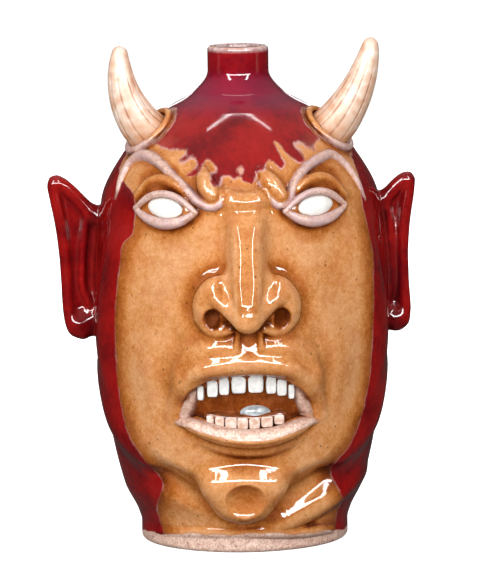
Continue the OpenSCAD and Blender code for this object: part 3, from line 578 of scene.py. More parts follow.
def sample_grid():
    """Distance to the clay at every grid point, a few columns at a time."""
    values = np.empty((len(GRID_TURN), len(GRID_Z), len(GRID_LIFT)), np.float32)
    block = 12
    for i in range(0, len(GRID_TURN), block):
        for j in range(0, len(GRID_Z), 3 * block):
            here = np.s_[i:i + block], np.s_[j:j + 3 * block]
            turn, z, lift = np.meshgrid(GRID_TURN[here[0]], GRID_Z[here[1]], GRID_LIFT, indexing="ij")
            values[here] = clay(on_wall(turn, z, lift).reshape(-1, 3)).reshape(turn.shape)
    return values


def net(values):
    """Surface net: a point in each cell that the surface crosses, a quad round each crossed edge."""
    n_turn, n_z, n_lift = values.shape
    inside = values < 0
    wrap = np.concatenate([inside, inside[:1]])
    shifts = [(a, b, c) for a in (0, 1) for b in (0, 1) for c in (0, 1)]
    count = sum(wrap[a:a + n_turn, b:b + n_z - 1, c:c + n_lift - 1].astype(np.int8) for a, b, c in shifts)
    cells = np.argwhere((count > 0) & (count < 8))
    cell_id = np.full((n_turn, n_z - 1, n_lift - 1), -1, np.int64)
    cell_id[tuple(cells.T)] = np.arange(len(cells))
    i, j, k = cells.T
    corner = {(a, b, c): values[(i + a) % n_turn, j + b, k + c] for a, b, c in shifts}
    total = np.zeros((len(cells), 3))
    hits = np.zeros(len(cells))
    for axis in range(3):
        for start in (shift for shift in shifts if shift[axis] == 0):
            end = start[:axis] + (1,) + start[axis + 1:]
            f0, f1 = corner[start], corner[end]
            crossed = (f0 < 0) != (f1 < 0)
            spot = np.repeat([start], len(cells), 0).astype(float)
            spot[:, axis] = np.where(crossed, f0 / np.where(crossed, f0 - f1, 1), 0)
            total += np.where(crossed[:, None], spot, 0)
            hits += crossed
    offset = total / hits[:, None]
    turns = np.append(GRID_TURN, GRID_TURN[0] + 2 * np.pi)
    turn = turns[i] + offset[:, 0] * (turns[i + 1] - turns[i])
    z = GRID_Z[j] + offset[:, 1] * (GRID_Z[j + 1] - GRID_Z[j])
    lift = GRID_LIFT[k] + offset[:, 2] * (GRID_LIFT[k + 1] - GRID_LIFT[k])
    first, last = cells[:, 1] == 0, cells[:, 1] == n_z - 2
    turn = np.where(first | last, turns[i] + 0.5 * (turns[i + 1] - turns[i]), turn)
    quads = []
    for axis, (u, v) in enumerate(((1, 2), (2, 0), (0, 1))):
        crossed = inside != np.roll(inside, -1, axis)
        if axis:
            crossed[(slice(None),) * axis + (-1,)] = False
        crossed[:, 0, :] &= axis == 1
        crossed[:, -1, :] = False
        crossed[:, :, 0] &= axis == 2
        crossed[:, :, -1] = False
        at = np.argwhere(crossed)
        ring = []
        for du, dv in ((0, 0), (-1, 0), (-1, -1), (0, -1)):
            c = at.copy()
            c[:, u] += du
            c[:, v] += dv
            ring.append(cell_id[c[:, 0] % n_turn, c[:, 1], c[:, 2]])
        ring = np.stack(ring, -1)
        flip = ~inside[tuple(at.T)]
        ring[flip] = ring[flip][:, ::-1]
        quads.append(ring)
    quads = np.concatenate(quads)
    quads = quads[(quads >= 0).all(1)]
    return on_wall(turn, z, lift), quads, cells[:, 0], first, last


def edges_of(quads):
    """The edges of each quad, in its winding."""
    return np.concatenate([quads[:, [i, (i + 1) % 4]] for i in range(4)])


def edge_table(quads):
    """Each edge that two quads share, and those two quads."""
    pairs = edges_of(quads)
    owner = np.tile(np.arange(len(quads)), 4)
    key = np.sort(pairs, 1)
    order = np.lexsort((key[:, 1], key[:, 0]))
    key, owner = key[order], owner[order]
    double = np.flatnonzero((key[1:] == key[:-1]).all(1))
    return key[double], owner[double], owner[double + 1]


def smooth_labels(label, beside_a, beside_b, rounds):
    """Gives each quad the piece that most of its neighbours have, so that the borders run smoothly."""
    for _ in range(rounds):
        votes = np.zeros((len(label), len(PIECES)), np.int8)
        np.add.at(votes, (beside_a, label[beside_b]), 1)
        np.add.at(votes, (beside_b, label[beside_a]), 1)
        top = votes.argmax(1)
        label = np.where(votes[np.arange(len(label)), top] >= 3, top, label)
    return label


def keep_main_patches(label, beside_a, beside_b, least):
    """Returns small loose patches of a piece to the jug's body."""
    same = label[beside_a] == label[beside_b]
    root = np.arange(len(label))
    a, b = beside_a[same], beside_b[same]
    while True:
        low = np.minimum(root[a], root[b])
        new = root.copy()
        np.minimum.at(new, a, low)
        np.minimum.at(new, b, low)
        new = new[new]
        if (new == root).all():
            break
        root = new
    sizes = np.bincount(root, minlength=len(label))[root]
    return np.where((sizes < least) & (label > 0), 0, label)


def border_loops(quads):
    """Ordered loops of points round a patch of quads, in the winding of its quads."""
    pairs = edges_of(quads)
    open_edges = {}
    for a, b in pairs.tolist():
        if open_edges.get((b, a)):
            open_edges[b, a] -= 1
        else:
            open_edges[a, b] = open_edges.get((a, b), 0) + 1
    following = {}
    for (a, b), count in open_edges.items():
        following.setdefault(a, []).extend([b] * count)
    for targets in following.values():
        targets.sort()
    loops = []
    for start in sorted(following):
        while following[start]:
            loop = [start]
            here = following[start].pop()
            while here != start:
                loop.append(here)
                here = following[here].pop()
            loops.append(loop)
    return [loop for loop in loops if len(loop) > 2]


BED_STEP = 7.0


def bed(sizes, rim, lift, outward):
    """A bed between border loops, given as their sizes and all their points in a row.

    Gives its new points, which lie at a lift off the wall, and its triangles, which number the rim's points
    first.
    """
    flat = np.stack([np.arctan2(rim[:, 0], -rim[:, 1]) * BELLY_R, rim[:, 2]], -1)
    flat = flat.astype(np.float32).astype(float)
    outlines = np.split(flat, np.cumsum(sizes)[:-1])
    edges = []
    base = 0
    for size in sizes:
        edges += [(base + i, base + (i + 1) % size) for i in range(size)]
        base += size

    def covered(spots):
        inside = np.zeros(len(spots), bool)
        for outline in outlines:
            inside ^= outline_distance(*np.transpose(spots), outline) < 0
        return inside

    low, high = flat.min(0) + BED_STEP / 2, flat.max(0)
    across, up = (np.arange(low[i], high[i], BED_STEP) for i in (0, 1))
    grid = [(x, z) for x in across for z in up]
    inner = [spot for spot, keep in zip(grid, covered(grid)) if keep] if grid else []
    spots = [Vector(spot) for spot in [*flat, *inner]]
    made, _, faces, origin, _, _ = delaunay_2d_cdt(spots, edges, [], 0, 1e-6)
    made = np.array([tuple(v) for v in made])
    faces = [face for face in faces if len(face) == 3]
    faces = [face for face, keep in zip(faces, covered([made[face].mean(0) for face in faces])) if keep]
    number, new_points = {}, []
    for i, source in enumerate(origin):
        if source and source[0] < len(rim):
            number[i] = source[0]
        else:
            number[i] = len(rim) + len(new_points)
            new_points.append(on_wall(made[i][0] / BELLY_R, made[i][1], lift))
    triangles = []
    for face in faces:
        a, b, c = made[face]
        turn = (b[0] - a[0]) * (c[1] - a[1]) - (b[1] - a[1]) * (c[0] - a[0])
        triangle = [number[i] for i in (face if (turn > 0) == outward else face[::-1])]
        if len(set(triangle)) == 3:
            triangles.append(triangle)
    return np.array(new_points).reshape(-1, 3), triangles


# Meshes and objects

def make_object(name, points, faces, normals=None, fields=None):
    """A smooth mesh object from points in millimetres, with its own normals and fields if given."""
    mesh = bpy.data.meshes.new(name)
    mesh.from_pydata((np.asarray(points) * MM).tolist(), [], [list(map(int, f)) for f in faces])
    mesh.polygons.foreach_set("use_smooth", np.ones(len(mesh.polygons), bool))
    for field, values in (fields or {}).items():
        attribute = mesh.attributes.new(field, "FLOAT", "POINT")
        attribute.data.foreach_set("value", np.asarray(values, np.float32))
    mesh.update()
    if normals is not None:
        mesh.normals_split_custom_set_from_vertices(np.asarray(normals, float).tolist())
    piece = bpy.data.objects.new(name, mesh)
    bpy.context.scene.collection.objects.link(piece)
    return piece


def finish_piece(piece, node, material):
    """Gives a piece its finish, hangs it from the root, and hides the part of the frame with the node's
    name.
    """
    piece.data.materials.append(material)
    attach(piece, "root")
    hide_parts(node)


# Where each glaze lies, as a distance in millimetres from its edge

FOREHEAD_RUNS = [
    (-60, 236), (-58, 222), (-48, 214), (-38, 210.2), (-32.7, 210.1), (-27.8, 209.6), (-31, 206.1),
    (-31.1, 203.9), (-29.8, 203.3), (-26.7, 205.3), (-24.3, 206.5), (-22.2, 204.4), (-23.8, 200.9),
    (-27.5, 198.7), (-26.6, 197.4), (-23.2, 198.1), (-20.2, 200.5), (-18.6, 203.4), (-16.2, 205.7),
    (-13.2, 203.1), (-12.3, 201.1), (-15, 199.9), (-15.4, 196.1), (-12.4, 192.8), (-9.4, 194.8),
    (-8.4, 197.4), (-6.9, 198), (-4.5, 197.2), (-2.7, 196.2), (-0.3, 197.2), (1.5, 195.5), (3.9, 194.5),
    (6.3, 193.5), (8.1, 196.6), (8.6, 198.6), (10.7, 200.5), (12.8, 200.8), (14.7, 205.3), (16.2, 204.7),
    (18.6, 202.9), (21.6, 200.9), (23.4, 203.2), (22, 206.6), (19.3, 211.5), (18.2, 214), (21.2, 211.4),
    (24.1, 207.6), (27.7, 204.7), (30.7, 203.1), (33.7, 204.3), (33.5, 207), (30.2, 210.9), (29, 212.5),
    (31.5, 212.4), (35.7, 209.9), (39.6, 207.7), (40, 212.3), (48, 215), (58, 222), (60, 236)]
SIDE_EDGE_LEFT = [(0, 42), (8.5, 42.4), (14.2, 44.3), (22.7, 45.6), (32.1, 42.8), (36, 42), (40.6, 44.2),
                  (48.5, 50.6), (53.6, 54), (58, 57.2), (66.9, 61.1), (87, 64.7), (103, 65.4), (119, 65.6),
                  (130, 65.2), (141, 63.8), (150, 62.5), (160, 61.4), (164.5, 58.8), (168, 55.4),
                  (178, 54), (187, 54.5), (191, 58), (196, 62.5), (203, 60), (210, 54), (222, 45)]
SIDE_EDGE_RIGHT = [(0, 47), (11.4, 47.6), (18, 48.8), (24.1, 51.4), (31.2, 48.9), (36.9, 45.8),
                   (39.5, 44.8), (44.1, 45.4), (49, 49.2), (52.3, 52.6), (57.2, 56), (66.9, 60.2),
                   (87, 65.5), (102, 67), (119, 68.1), (150, 68.4), (166, 66.2), (180, 63.2), (190, 62),
                   (198, 60), (208, 55), (222, 45)]
forehead = np.concatenate([spline(FOREHEAD_RUNS, 240), [(0, 300)]])
side_left = spline(SIDE_EDGE_LEFT, 200)
side_right = spline(SIDE_EDGE_RIGHT, 200)
PALE_SPOT, PALE_SPOT_R = (0.4, 201.2), 1.2
# Amber shows this far round the horns' collars
AMBER_RING = 1.8
# The face ends at this many degrees from its middle, and all beyond is red
FACE_TURN = 80
RUNS_LOW = 188
AMBER_FAR, RED_FAR = -20.0, 40.0


def red_field(p):
    """How far a point lies inside the red glaze: above the forehead's runs, or beyond the side edge."""
    x, z = p[:, 0], p[:, 2]
    turn = np.arctan2(x, -p[:, 1])
    on_face = np.abs(np.degrees(turn)) < FACE_TURN
    beyond = np.where(x < 0, -x - np.interp(z, *side_left.T), x - np.interp(z, *side_right.T))
    field = np.where(on_face, beyond / np.maximum(np.cos(turn), 0.4), RED_FAR)
    runs = np.full(len(p), AMBER_FAR)
    top = np.flatnonzero(on_face & (z > RUNS_LOW))
    runs[top] = -outline_distance(x[top], z[top], forehead)
    field = np.maximum(field, runs)
    for form in forms:
        if form.piece and form.piece.endswith("horn_collar"):
            near = near_form(form, p, AMBER_RING)
            field[near] = np.minimum(field[near], form.distance(p[near]) - AMBER_RING)
    spot = np.hypot(x - PALE_SPOT[0], z - PALE_SPOT[1]) - PALE_SPOT_R
    field = np.where(p[:, 1] < 0, np.minimum(field, np.maximum(spot, -0.1)), field)
    return np.clip(field, AMBER_FAR, RED_FAR)


BARE_ENDINGS = ("brow", "lid", "horn_collar", "mouth_corner", "lower_lip")
# Rolls of those pieces with a softer blend than this stay glazed
BARE_BLEND = 2.5
BARE_MARGIN = 0.32
BARE_FAR = 6.0
# Between these heights glaze creeps up to this far over the horns' collars
COLLAR_GLAZED, COLLAR_CREEP = (212, 222), 1.6
# Below this line, as x and z, the lower lip's underside is glazed
LIP_GLAZE_LINE = [(-38, 70.5), (-30, 70), (-20, 67.4), (-9, 64.8), (3.3, 63.5), (15, 64.2), (25, 66.6),
                  (34, 69.4), (41, 70)]
FOOT_LINE_FRONT, FOOT_LINE_SIDE = 10.5, 4.5
# Waves of the foot's glaze line: height, waves in a turn, start
FOOT_WAVES = ((0.5, 9, 0), (0.3, 23, 1))


def bare_field(p):
    """How far a point lies inside the bare clay: on the coils, on the lower lip and round the foot."""
    bare = np.full(len(p), -BARE_FAR)
    for form in forms:
        if form.cut or not form.piece.endswith(BARE_ENDINGS) or form.blend > BARE_BLEND:
            continue
        near = near_form(form, p)
        x, z = p[near, 0], p[near, 2]
        own = BARE_MARGIN - form.distance(p[near])
        if form.piece == "lower_lip":
            own = np.minimum(own, z - np.interp(x, *np.transpose(LIP_GLAZE_LINE)))
        if form.piece.endswith("horn_collar"):
            own = own - COLLAR_CREEP * smooth_step(z, *COLLAR_GLAZED)
        bare[near] = np.maximum(bare[near], own)
    turn = np.arctan2(p[:, 0], -p[:, 1])
    line = FOOT_LINE_SIDE + (FOOT_LINE_FRONT - FOOT_LINE_SIDE) * np.maximum(np.cos(turn), 0)**1.5
    for height, waves, start in FOOT_WAVES:
        line = line + height * np.sin(turn * waves + start)
    return np.clip(np.maximum(bare, line - p[:, 2]), -BARE_FAR, BARE_FAR)


POOL_REACHES, POOL_WEIGHT = (3, 9), 0.6
UNDERSIDE_LEAN, UNDERSIDE_SHADE = 0.35, 0.5
MOUTH_SHADE, MOUTH_DEEP = 0.62, 3.5
WEB_SHADE, WEB_START, WEB_MIDDLE = 0.36, 23, FACE_X - 1
NOSTRIL_SHADE, NOSTRIL_FADE = 0.85, (0.2, 1.6)
EYE_SIZE, EYE_POOL = (16, 9), 0.22
SOCKET, SOCKET_SIZE = (44, 196.5), (15, 9)
SOCKET_PAINTED_SHADE, SOCKET_POOL = 0.16, 0.46
RIDGE_PAINTED_SHADE, NOSE_SIDE_PAINTED_LIGHT = 0.34, 0.3
RIDGE_EDGE, NOSE_EDGE = (4.5, 7), (11, 14)
NOSE_LIFT, NOSE_LOW, NOSE_HIGH = (2, 6), (128, 136), (172, 182)


def around(x, z, spot, size, inner, outer):
    """One round a spot of the face, fading to nothing between two shares of its size."""
    away = np.hypot((x - spot[0]) / size[0], (z - spot[1]) / size[1])
    return 1 - smooth_step(away, inner, outer)


def pool_and_shade_field(p, normals):
    """How much the clay closes in over a point, where glaze pools, with painted shade added under overhangs
    and in the sockets, mouth and nostrils, and painted shade and light on the nose: 0 on the flat, 1 in a
    deep corner.
    """
    x, z = p[:, 0], p[:, 2]
    front = p[:, 1] < 0
    # Painted shade on the clay's undersides, darker the more they face down
    pool = UNDERSIDE_SHADE * np.clip(-normals[:, 2] - UNDERSIDE_LEAN, 0, 1)
    for reach in POOL_REACHES:
        pool += POOL_WEIGHT * (1 - in_blocks(clay, p + normals * reach) / reach)
    # Painted shade in the sockets under the brows, where the darkening is also kept below a ceiling
    socket = front * around(np.abs(x), z, SOCKET, SOCKET_SIZE, 0.3, 1.1)
    pool += SOCKET_PAINTED_SHADE * socket
    pool += (np.minimum(pool, SOCKET_POOL) - pool) * socket
    # The nose's flat ridge gets painted shade and its steep sides a painted sheen of the side lights
    across = np.abs(x - NOSE_X)
    on_nose = front * smooth_step(lift_of(p), *NOSE_LIFT) * (1 - smooth_step(across, *NOSE_EDGE))
    on_nose = on_nose * smooth_step(z, *NOSE_LOW) * (1 - smooth_step(z, *NOSE_HIGH))
    ridge = 1 - smooth_step(across, *RIDGE_EDGE)
    pool += on_nose * (RIDGE_PAINTED_SHADE * ridge - NOSE_SIDE_PAINTED_LIGHT * (1 - ridge))
    for eye_x, eye_z, outward in EYES.values():
        in_eye = front * around(x, z, (eye_x, eye_z), EYE_SIZE, 0.75, 1)
        pool += (np.minimum(pool, EYE_POOL) - pool) * in_eye
    # Painted shade deep in the open mouth, and a lighter painted shade on the webs at its corners
    in_mouth = front & (outline_distance(x, z, mouth_outline) < -0.5)
    webs = np.where(in_mouth & (np.abs(x - WEB_MIDDLE) > WEB_START), WEB_SHADE, 0)
    hollow = np.where(in_mouth & (lift_of(p) < MOUTH_DEEP), MOUTH_SHADE, webs)
    # Painted shade in the nostrils' hollows
    for form in forms:
        if form.cut and form.piece and form.piece.endswith("nostril"):
            near = near_form(form, p)
            depth = 1 - smooth_step(form.distance(p[near]), *NOSTRIL_FADE)
            hollow[near] = np.maximum(hollow[near], NOSTRIL_SHADE * depth)
    return np.clip(np.maximum(pool, hollow), 0, 1)


CREST_DEPTH = 2.0


def crest_field(p, normals):
    """How sharply the clay turns away from a point, where glaze runs thin."""
    return np.clip(1 + in_blocks(clay, p - normals * CREST_DEPTH) / CREST_DEPTH, 0, 1)


# Materials

def linear(colour):
    """Linear colour of an sRGB hex value."""
    parts = [int(colour[i:i + 2], 16) / 255 for i in (1, 3, 5)]
    return tuple(v / 12.92 if v <= 0.04045 else ((v + 0.055) / 1.055)**2.4 for v in parts) + (1,)


def add_node(tree, kind, *inputs, out=0, stops=(), sockets=None, **settings):
    """Adds a shader node with its settings and links, and gives one of its outputs.

    Inputs come in the node's order, or as sockets by name or number: another node's output is linked, and a
    number or a hex colour is set. Stops are a colour ramp's positions, each with a grey level or a colour.
    """
    node = tree.nodes.new("ShaderNode" + kind)
    for key, value in settings.items():
        setattr(node, key, value)
    for key, value in [*enumerate(inputs), *(sockets or {}).items()]:
        if isinstance(value, bpy.types.NodeSocket):
            tree.links.new(value, node.inputs[key])
        else:
            node.inputs[key].default_value = linear(value) if isinstance(value, str) else value
    if stops:
        elements = node.color_ramp.elements
        while len(elements) < len(stops):
            elements.new(0.5)
        for element, (position, level) in zip(elements, stops):
            element.position = position
            element.color = linear(level) if isinstance(level, str) else (level, level, level, 1)
    return node.outputs[out] if node.outputs else None


# Settings of the nodes that come most: sums and products, and a mix of two colours in its sockets 6 and 7
ADD_PRODUCT, PRODUCT = {"operation": "MULTIPLY_ADD"}, {"operation": "MULTIPLY"}
COLOURS = {"data_type": "RGBA", "out": 2}


def new_material(name):
    """An empty material, and what adds nodes to it."""
    material = bpy.data.materials.new(name)
    material.use_nodes = True
    material.node_tree.nodes.clear()
    return material, partial(add_node, material.node_tree)


def per_mm(size):
    """Texture scale for a pattern of about that size in millimetres."""
    return 1 / (size * MM)


CLAY_IOR = 1.5


def glazed_stoneware():
    """Stoneware under three finishes: amber ash glaze, copper red glaze, and bare fired clay.

    The amber is glossy, darker where it pools and in painted shade, and paler where it runs thin, with iron
    specks; the nose's ridge has painted shade and its sides a painted sheen. The red is deep and glossy,
    with purple clouds and a pale lavender edge where it thins out over the amber. The bare clay is pinkish,
    matt and gritty. Red and bare clay also darken where glaze pools and in painted shade. Its grit, of
    about half a millimetre, is drawn twice as coarse so that it shows.
    """
    material, node = new_material("glazed_stoneware")
    place = node("TexCoord", out="Object")
    up = node("SeparateXYZ", place, out="Z")
    red_edge, bare_edge, pool, crest = (node("Attribute", attribute_name=field, out="Fac")
                                        for field in ("red", "bare", "pool", "crest"))
    clouds = node("TexNoise", place, out="Fac", sockets={"Scale": per_mm(22), "Detail": 4})
    patches = node("TexNoise", place, out="Fac", sockets={"Scale": per_mm(8), "Detail": 3})
    mottle = node("TexNoise", place, out="Fac", sockets={"Scale": per_mm(3.2), "Detail": 5,
                                                         "Roughness": 0.6})
    grain = node("TexNoise", place, out="Fac", sockets={"Scale": per_mm(1.1), "Detail": 3})
    specks = node("TexVoronoi", place, out="Distance", sockets={"Scale": per_mm(4)})

    # Amber glaze: tone by pooling, painted shade and clouds, with painted shade beside the red low down,
    # blush and iron specks
    noises = ((clouds, 0.45), (mottle, 0.45), (grain, 0.4))
    tone = 0.19 - sum(weight for source, weight in noises) / 2
    for source, weight in ((pool, 0.95), (crest, -0.1)) + noises:
        tone = node("Math", source, weight, tone, **ADD_PRODUCT)
    beside = node("MapRange", red_edge, -12, 0, 0, 0.5)
    low_down = node("MapRange", up, 160 * MM, 185 * MM, 1, 0.15)
    tone = node("Math", beside, low_down, tone, **ADD_PRODUCT)
    amber = node("ValToRGB", tone, stops=[
        (0, "#DFA97B"), (0.28, "#C8864D"), (0.5, "#A86026"), (0.75, "#7E3B10"), (1, "#542309")])
    blush = node("MapRange", patches, 0.48, 0.66, 0, 0.35)
    drawn = node("Math", node("SeparateColor", specks.node.outputs["Color"]), 0.78,
                 operation="GREATER_THAN")
    speck = node("Math", node("MapRange", specks, 0.07, 0.2, 0.75, 0), drawn, **PRODUCT)
    for share, tint in ((blush, "#B8673A"), (speck, "#4A2A17")):
        amber = node("Mix", share, sockets={6: amber, 7: tint}, **COLOURS)

    # Red glaze: deep red with purple clouds, darker where glaze pools and in painted shade, thin on the
    # crests, purple round the neck and pale on the lip
    tone = 0
    for source, weight in ((clouds, 0.8), (mottle, 0.35), (pool, -0.25)):
        tone = node("Math", source, weight, tone, **ADD_PRODUCT)
    red = node("ValToRGB", tone, stops=[(0.25, "#43040A"), (0.45, "#6E070C"), (0.62, "#90110F"),
                                        (0.8, "#9C1A18")])
    thin = node("Math", crest, 0.4, **PRODUCT)
    neck = node("MapRange", up, 215 * MM, 260 * MM)
    neck = node("ValToRGB", neck, stops=[(0.2, 0), (0.42, 0.6), (0.62, 0.5), (0.75, 0.1)])
    lip = node("MapRange", up, 256.8 * MM, 259.8 * MM)
    lip = node("Math", lip, node("MapRange", mottle, 0.35, 0.6, 0.45, 1), **PRODUCT)
    for share, tint in ((thin, "#A23A33"), (neck, "#7A0C3C"), (lip, "#E2CFCB")):
        red = node("Mix", share, sockets={6: red, 7: tint}, **COLOURS)

    # The red runs over the amber with a ragged pale edge
    width = node("MapRange", clouds, 0.36, 0.62, 0.5, 1.2)
    ragged = node("Math", red_edge, width, node("Math", mottle, 2.6, -1.3, **ADD_PRODUCT), **ADD_PRODUCT)
    edge = node("MapRange", ragged, -2, 4)
    red_share = node("ValToRGB", edge, stops=[(0.32, 0), (0.46, 1)])
    rim = node("ValToRGB", edge, stops=[(0.27, 0), (0.35, 0.8), (0.41, 0.5), (0.52, 0)])
    broken = node("MapRange", patches, 0.42, 0.6, 0.2, 1)
    high_up = node("MapRange", up, 170 * MM, 195 * MM, 0.4, 1)
    rim = node("Math", rim, node("Math", broken, high_up, **PRODUCT), **PRODUCT)
    glaze = node("Mix", red_share, sockets={6: amber, 7: red}, **COLOURS)
    glaze = node("Mix", rim, sockets={6: glaze, 7: "#CFA6A4"}, **COLOURS)

    # Bare clay, darker where glaze pools and in painted shade, with a film of glaze higher up and a brown
    # line of thin glaze at its edge
    tone = node("Math", grain, 0.6, node("Math", mottle, 0.4, **PRODUCT), **ADD_PRODUCT)
    bare_clay = node("ValToRGB", tone, stops=[(0.36, "#A87C6C"), (0.48, "#D2AC9A"), (0.64, "#E8CDBC")])
    shade = node("Math", pool, 0.75, **PRODUCT)
    film = node("MapRange", up, 120 * MM, 160 * MM, 0, 0.85)
    film = node("Math", film, node("MapRange", patches, 0.38, 0.6, 0.25, 1), **PRODUCT)
    ragged = node("Math", mottle, 0.9, -0.45, **ADD_PRODUCT)
    ragged = node("Math", bare_edge, ragged, operation="ADD")
    thin_edge = node("MapRange", ragged, -0.1, 0.3, 0.75, 0)
    for share, tint in ((shade, "#7A4326"), (film, "#BB9A9B"), (thin_edge, "#7C4B36")):
        bare_clay = node("Mix", share, sockets={6: bare_clay, 7: tint}, **COLOURS)
    bare = node("MapRange", ragged, -0.35, 0.35)
    colour = node("Mix", bare, sockets={6: glaze, 7: bare_clay}, **COLOURS)

    grit = node("Math", grain, bare, **PRODUCT)
    height = node("Math", grit, 0.35, node("Math", mottle, 0.12, **PRODUCT), **ADD_PRODUCT)
    bump = node("Bump", sockets={"Strength": 0.35, "Distance": 0.4 * MM, "Height": height})
    shader = node("BsdfPrincipled", sockets={
        "Base Color": colour, "Roughness": node("MapRange", bare, 0, 1, 0.06, 0.5), "IOR": CLAY_IOR,
        "Specular IOR Level": node("MapRange", pool, 0.66, 0.8, 0.4, 0.04), "Normal": bump})
    node("OutputMaterial", shader)
    return material


def white_clay_horn():
    """Bare white clay: matt ivory with peach clouds, brown drawn lines and an amber stain at the root."""
    material, node = new_material("white_clay_horn")
    along, line = (node("Attribute", attribute_name=field, out="Fac") for field in ("along", "line"))
    place = node("TexCoord", out="Object")
    mottle = node("TexNoise", place, out="Fac", sockets={"Scale": per_mm(6), "Detail": 5})
    colour = node("ValToRGB", mottle, stops=[(0.36, "#D4A385"), (0.5, "#E3BFA6"), (0.66, "#EDD8C8")])
    stain = node("ValToRGB", along, stops=[(0.06, 0.9), (0.14, 0.4), (0.28, 0)])
    broken = node("ValToRGB", mottle, stops=[(0.4, 0.95), (0.62, 0.35)])
    drawn = node("Math", line, broken, **PRODUCT)
    for share, tint in ((stain, "#B9773F"), (drawn, "#8A4A26")):
        colour = node("Mix", share, sockets={6: colour, 7: tint}, **COLOURS)
    bump = node("Bump", sockets={"Strength": 0.3, "Distance": 0.3 * MM, "Height": mottle})
    shader = node("BsdfPrincipled", sockets={
        "Base Color": colour, "Roughness": 0.42, "IOR": CLAY_IOR, "Normal": bump})
    node("OutputMaterial", shader)
    return material


def plain_mottled(name, dark, light, size, relief, roughness):
    """A finish with one mottle between two colours, and a bump of the same grain, in millimetres."""
    material, node = new_material(name)
    place = node("TexCoord", out="Object")
    mottle = node("TexNoise", place, out="Fac", sockets={"Scale": per_mm(size), "Detail": 4})
    colour = node("ValToRGB", mottle, stops=[(0.35, dark), (0.65, light)])
    bump = node("Bump", sockets={"Strength": 0.3, "Distance": relief * MM, "Height": mottle})
    shader = node("BsdfPrincipled", sockets={
        "Base Color": colour, "Roughness": roughness, "IOR": CLAY_IOR, "Normal": bump})
    node("OutputMaterial", shader)
    return material


stoneware = glazed_stoneware()
horn_clay = white_clay_horn()
# White clay of the eyes: matt and nearly even
eye_clay = plain_mottled("white_clay_eye", "#EFEDE6", "#FCFCF8", size=2.5, relief=0.2, roughness=0.4)
# China of the teeth: cool white and glassy
tooth_china = plain_mottled("china_tooth", "#DCDBD8", "#F3F2EE", size=3, relief=0.1, roughness=0.12)
# Lower teeth: the same china under a film of run glaze
low_tooth_china = plain_mottled("glazed_china_tooth", "#C9A088", "#EAD6CA", size=2.5, relief=0.1,
                                roughness=0.12)
# Tongue: a glassy pale blue-grey run of glaze
tongue_glass = plain_mottled("pale_glaze_tongue", "#8F9496", "#CBD2D4", size=3, relief=0.3, roughness=0.08)
# Gums: amber glaze pooled dark behind the teeth
gum_glaze = plain_mottled("amber_glaze_gum", "#5B2C12", "#8A4A22", size=4, relief=0.2, roughness=0.15)


# Clay surface, cut into its pieces

SMALLEST_PATCH = 30
SMOOTH_ROUNDS, SEAM_ROUNDS = 4, 6


def build_clay():
    """The clay's points, normals and quads, each quad's piece, and where the points lie in the grid."""
    points, quads, column, first, last = net(sample_grid())
    points = settle(points)
    keys, beside_a, beside_b = edge_table(quads)
    middle = points[quads].mean(1)
    _, label = in_blocks(clay_and_piece, middle)
    label = smooth_labels(label, beside_a, beside_b, SMOOTH_ROUNDS)
    label = keep_main_patches(label, beside_a, beside_b, round(SMALLEST_PATCH / COARSE**2))
    seam = keys[label[beside_a] != label[beside_b]]
    for _ in range(SEAM_ROUNDS):
        total = np.zeros_like(points)
        count = np.zeros(len(points))
        np.add.at(total, seam[:, 0], points[seam[:, 1]])
        np.add.at(total, seam[:, 1], points[seam[:, 0]])
        np.add.at(count, seam.ravel(), 1)
        two = count == 2
        points[two] = 0.5 * points[two] + 0.25 * total[two]
    on_seam = np.unique(seam)
    points[on_seam] = settle(points[on_seam], rounds=2)
    g = slope_of(points)
    normals = g / np.linalg.norm(g, axis=1)[:, None]
    return points, normals, quads, label, column, first, last


points, normals, quads, label, column, first, last = build_clay()
fields = {"red": red_field(points), "bare": bare_field(points), "pool": pool_and_shade_field(points, normals),
          "crest": crest_field(points, normals)}
PIECE_DEPTH, BODY_DEPTH = 1.2, 2.6


def outwards(p):
    """Level directions away from the jug's axis."""
    out = p * [1, 1, 0]
    return out / np.linalg.norm(out, axis=1)[:, None]


def walled_patch(patch, loops, depth, outward):
    """A patch of quads with walls sunk at its border loops and a bed between them.

    Gives its points, faces, normals and fields, and the number in it of each point of the clay.
    """
    used = np.unique(patch)
    number = {v: i for i, v in enumerate(used.tolist())}
    ring = [v for loop in loops for v in loop]
    sunk = points[ring] - normals[ring] * depth
    bed_points, bed_faces = bed([len(loop) for loop in loops], sunk, -depth, outward)
    faces = [[number[v] for v in quad] for quad in patch.tolist()]
    base = len(used)
    for loop in loops:
        for i, v in enumerate(loop):
            j = (i + 1) % len(loop)
            faces.append([number[loop[j]], number[v], base + i, base + j])
        base += len(loop)
    faces += [[len(used) + v for v in triangle] for triangle in bed_faces]
    hidden = np.concatenate([normals[ring], outwards(bed_points)])
    own_normals = np.concatenate([normals[used], hidden if outward else -hidden])
    source = np.concatenate([used, ring, np.zeros(len(bed_points))]).astype(int)
    own_fields = {key: values[source] for key, values in fields.items()}
    return np.concatenate([points[used], sunk, bed_points]), faces, own_normals, own_fields, number


for name in PIECES[1:]:
    patch = quads[label == PIECE_ID[name]]
    *piece_mesh, _ = walled_patch(patch, border_loops(patch), PIECE_DEPTH, outward=False)
    finish_piece(make_object(name + "_clay", *piece_mesh), name, stoneware)

FOOT_R = STATIONS[0][1]
FOOT_HOLLOW = 0.6
FOOT_UNDER = [(48, 0), (45, FOOT_HOLLOW), (24, FOOT_HOLLOW)]
NECK_LOW, NECK_HIGH, NECK_STEP = 235.2, 258, 1.3
BORE_ROWS = (254, 248, 242, BORE_LOW)
# About the wall's radius where the grid ends and the neck's rows start
NECK_START_R = 27
INSIDE_START, INSIDE_STEP, INSIDE_NARROWEST = 3, 6, 1.5
# Width and height of the round corner between wall and floor inside
CORNER_W, CORNER_H = 14, 12
FLOOR_RING = 24


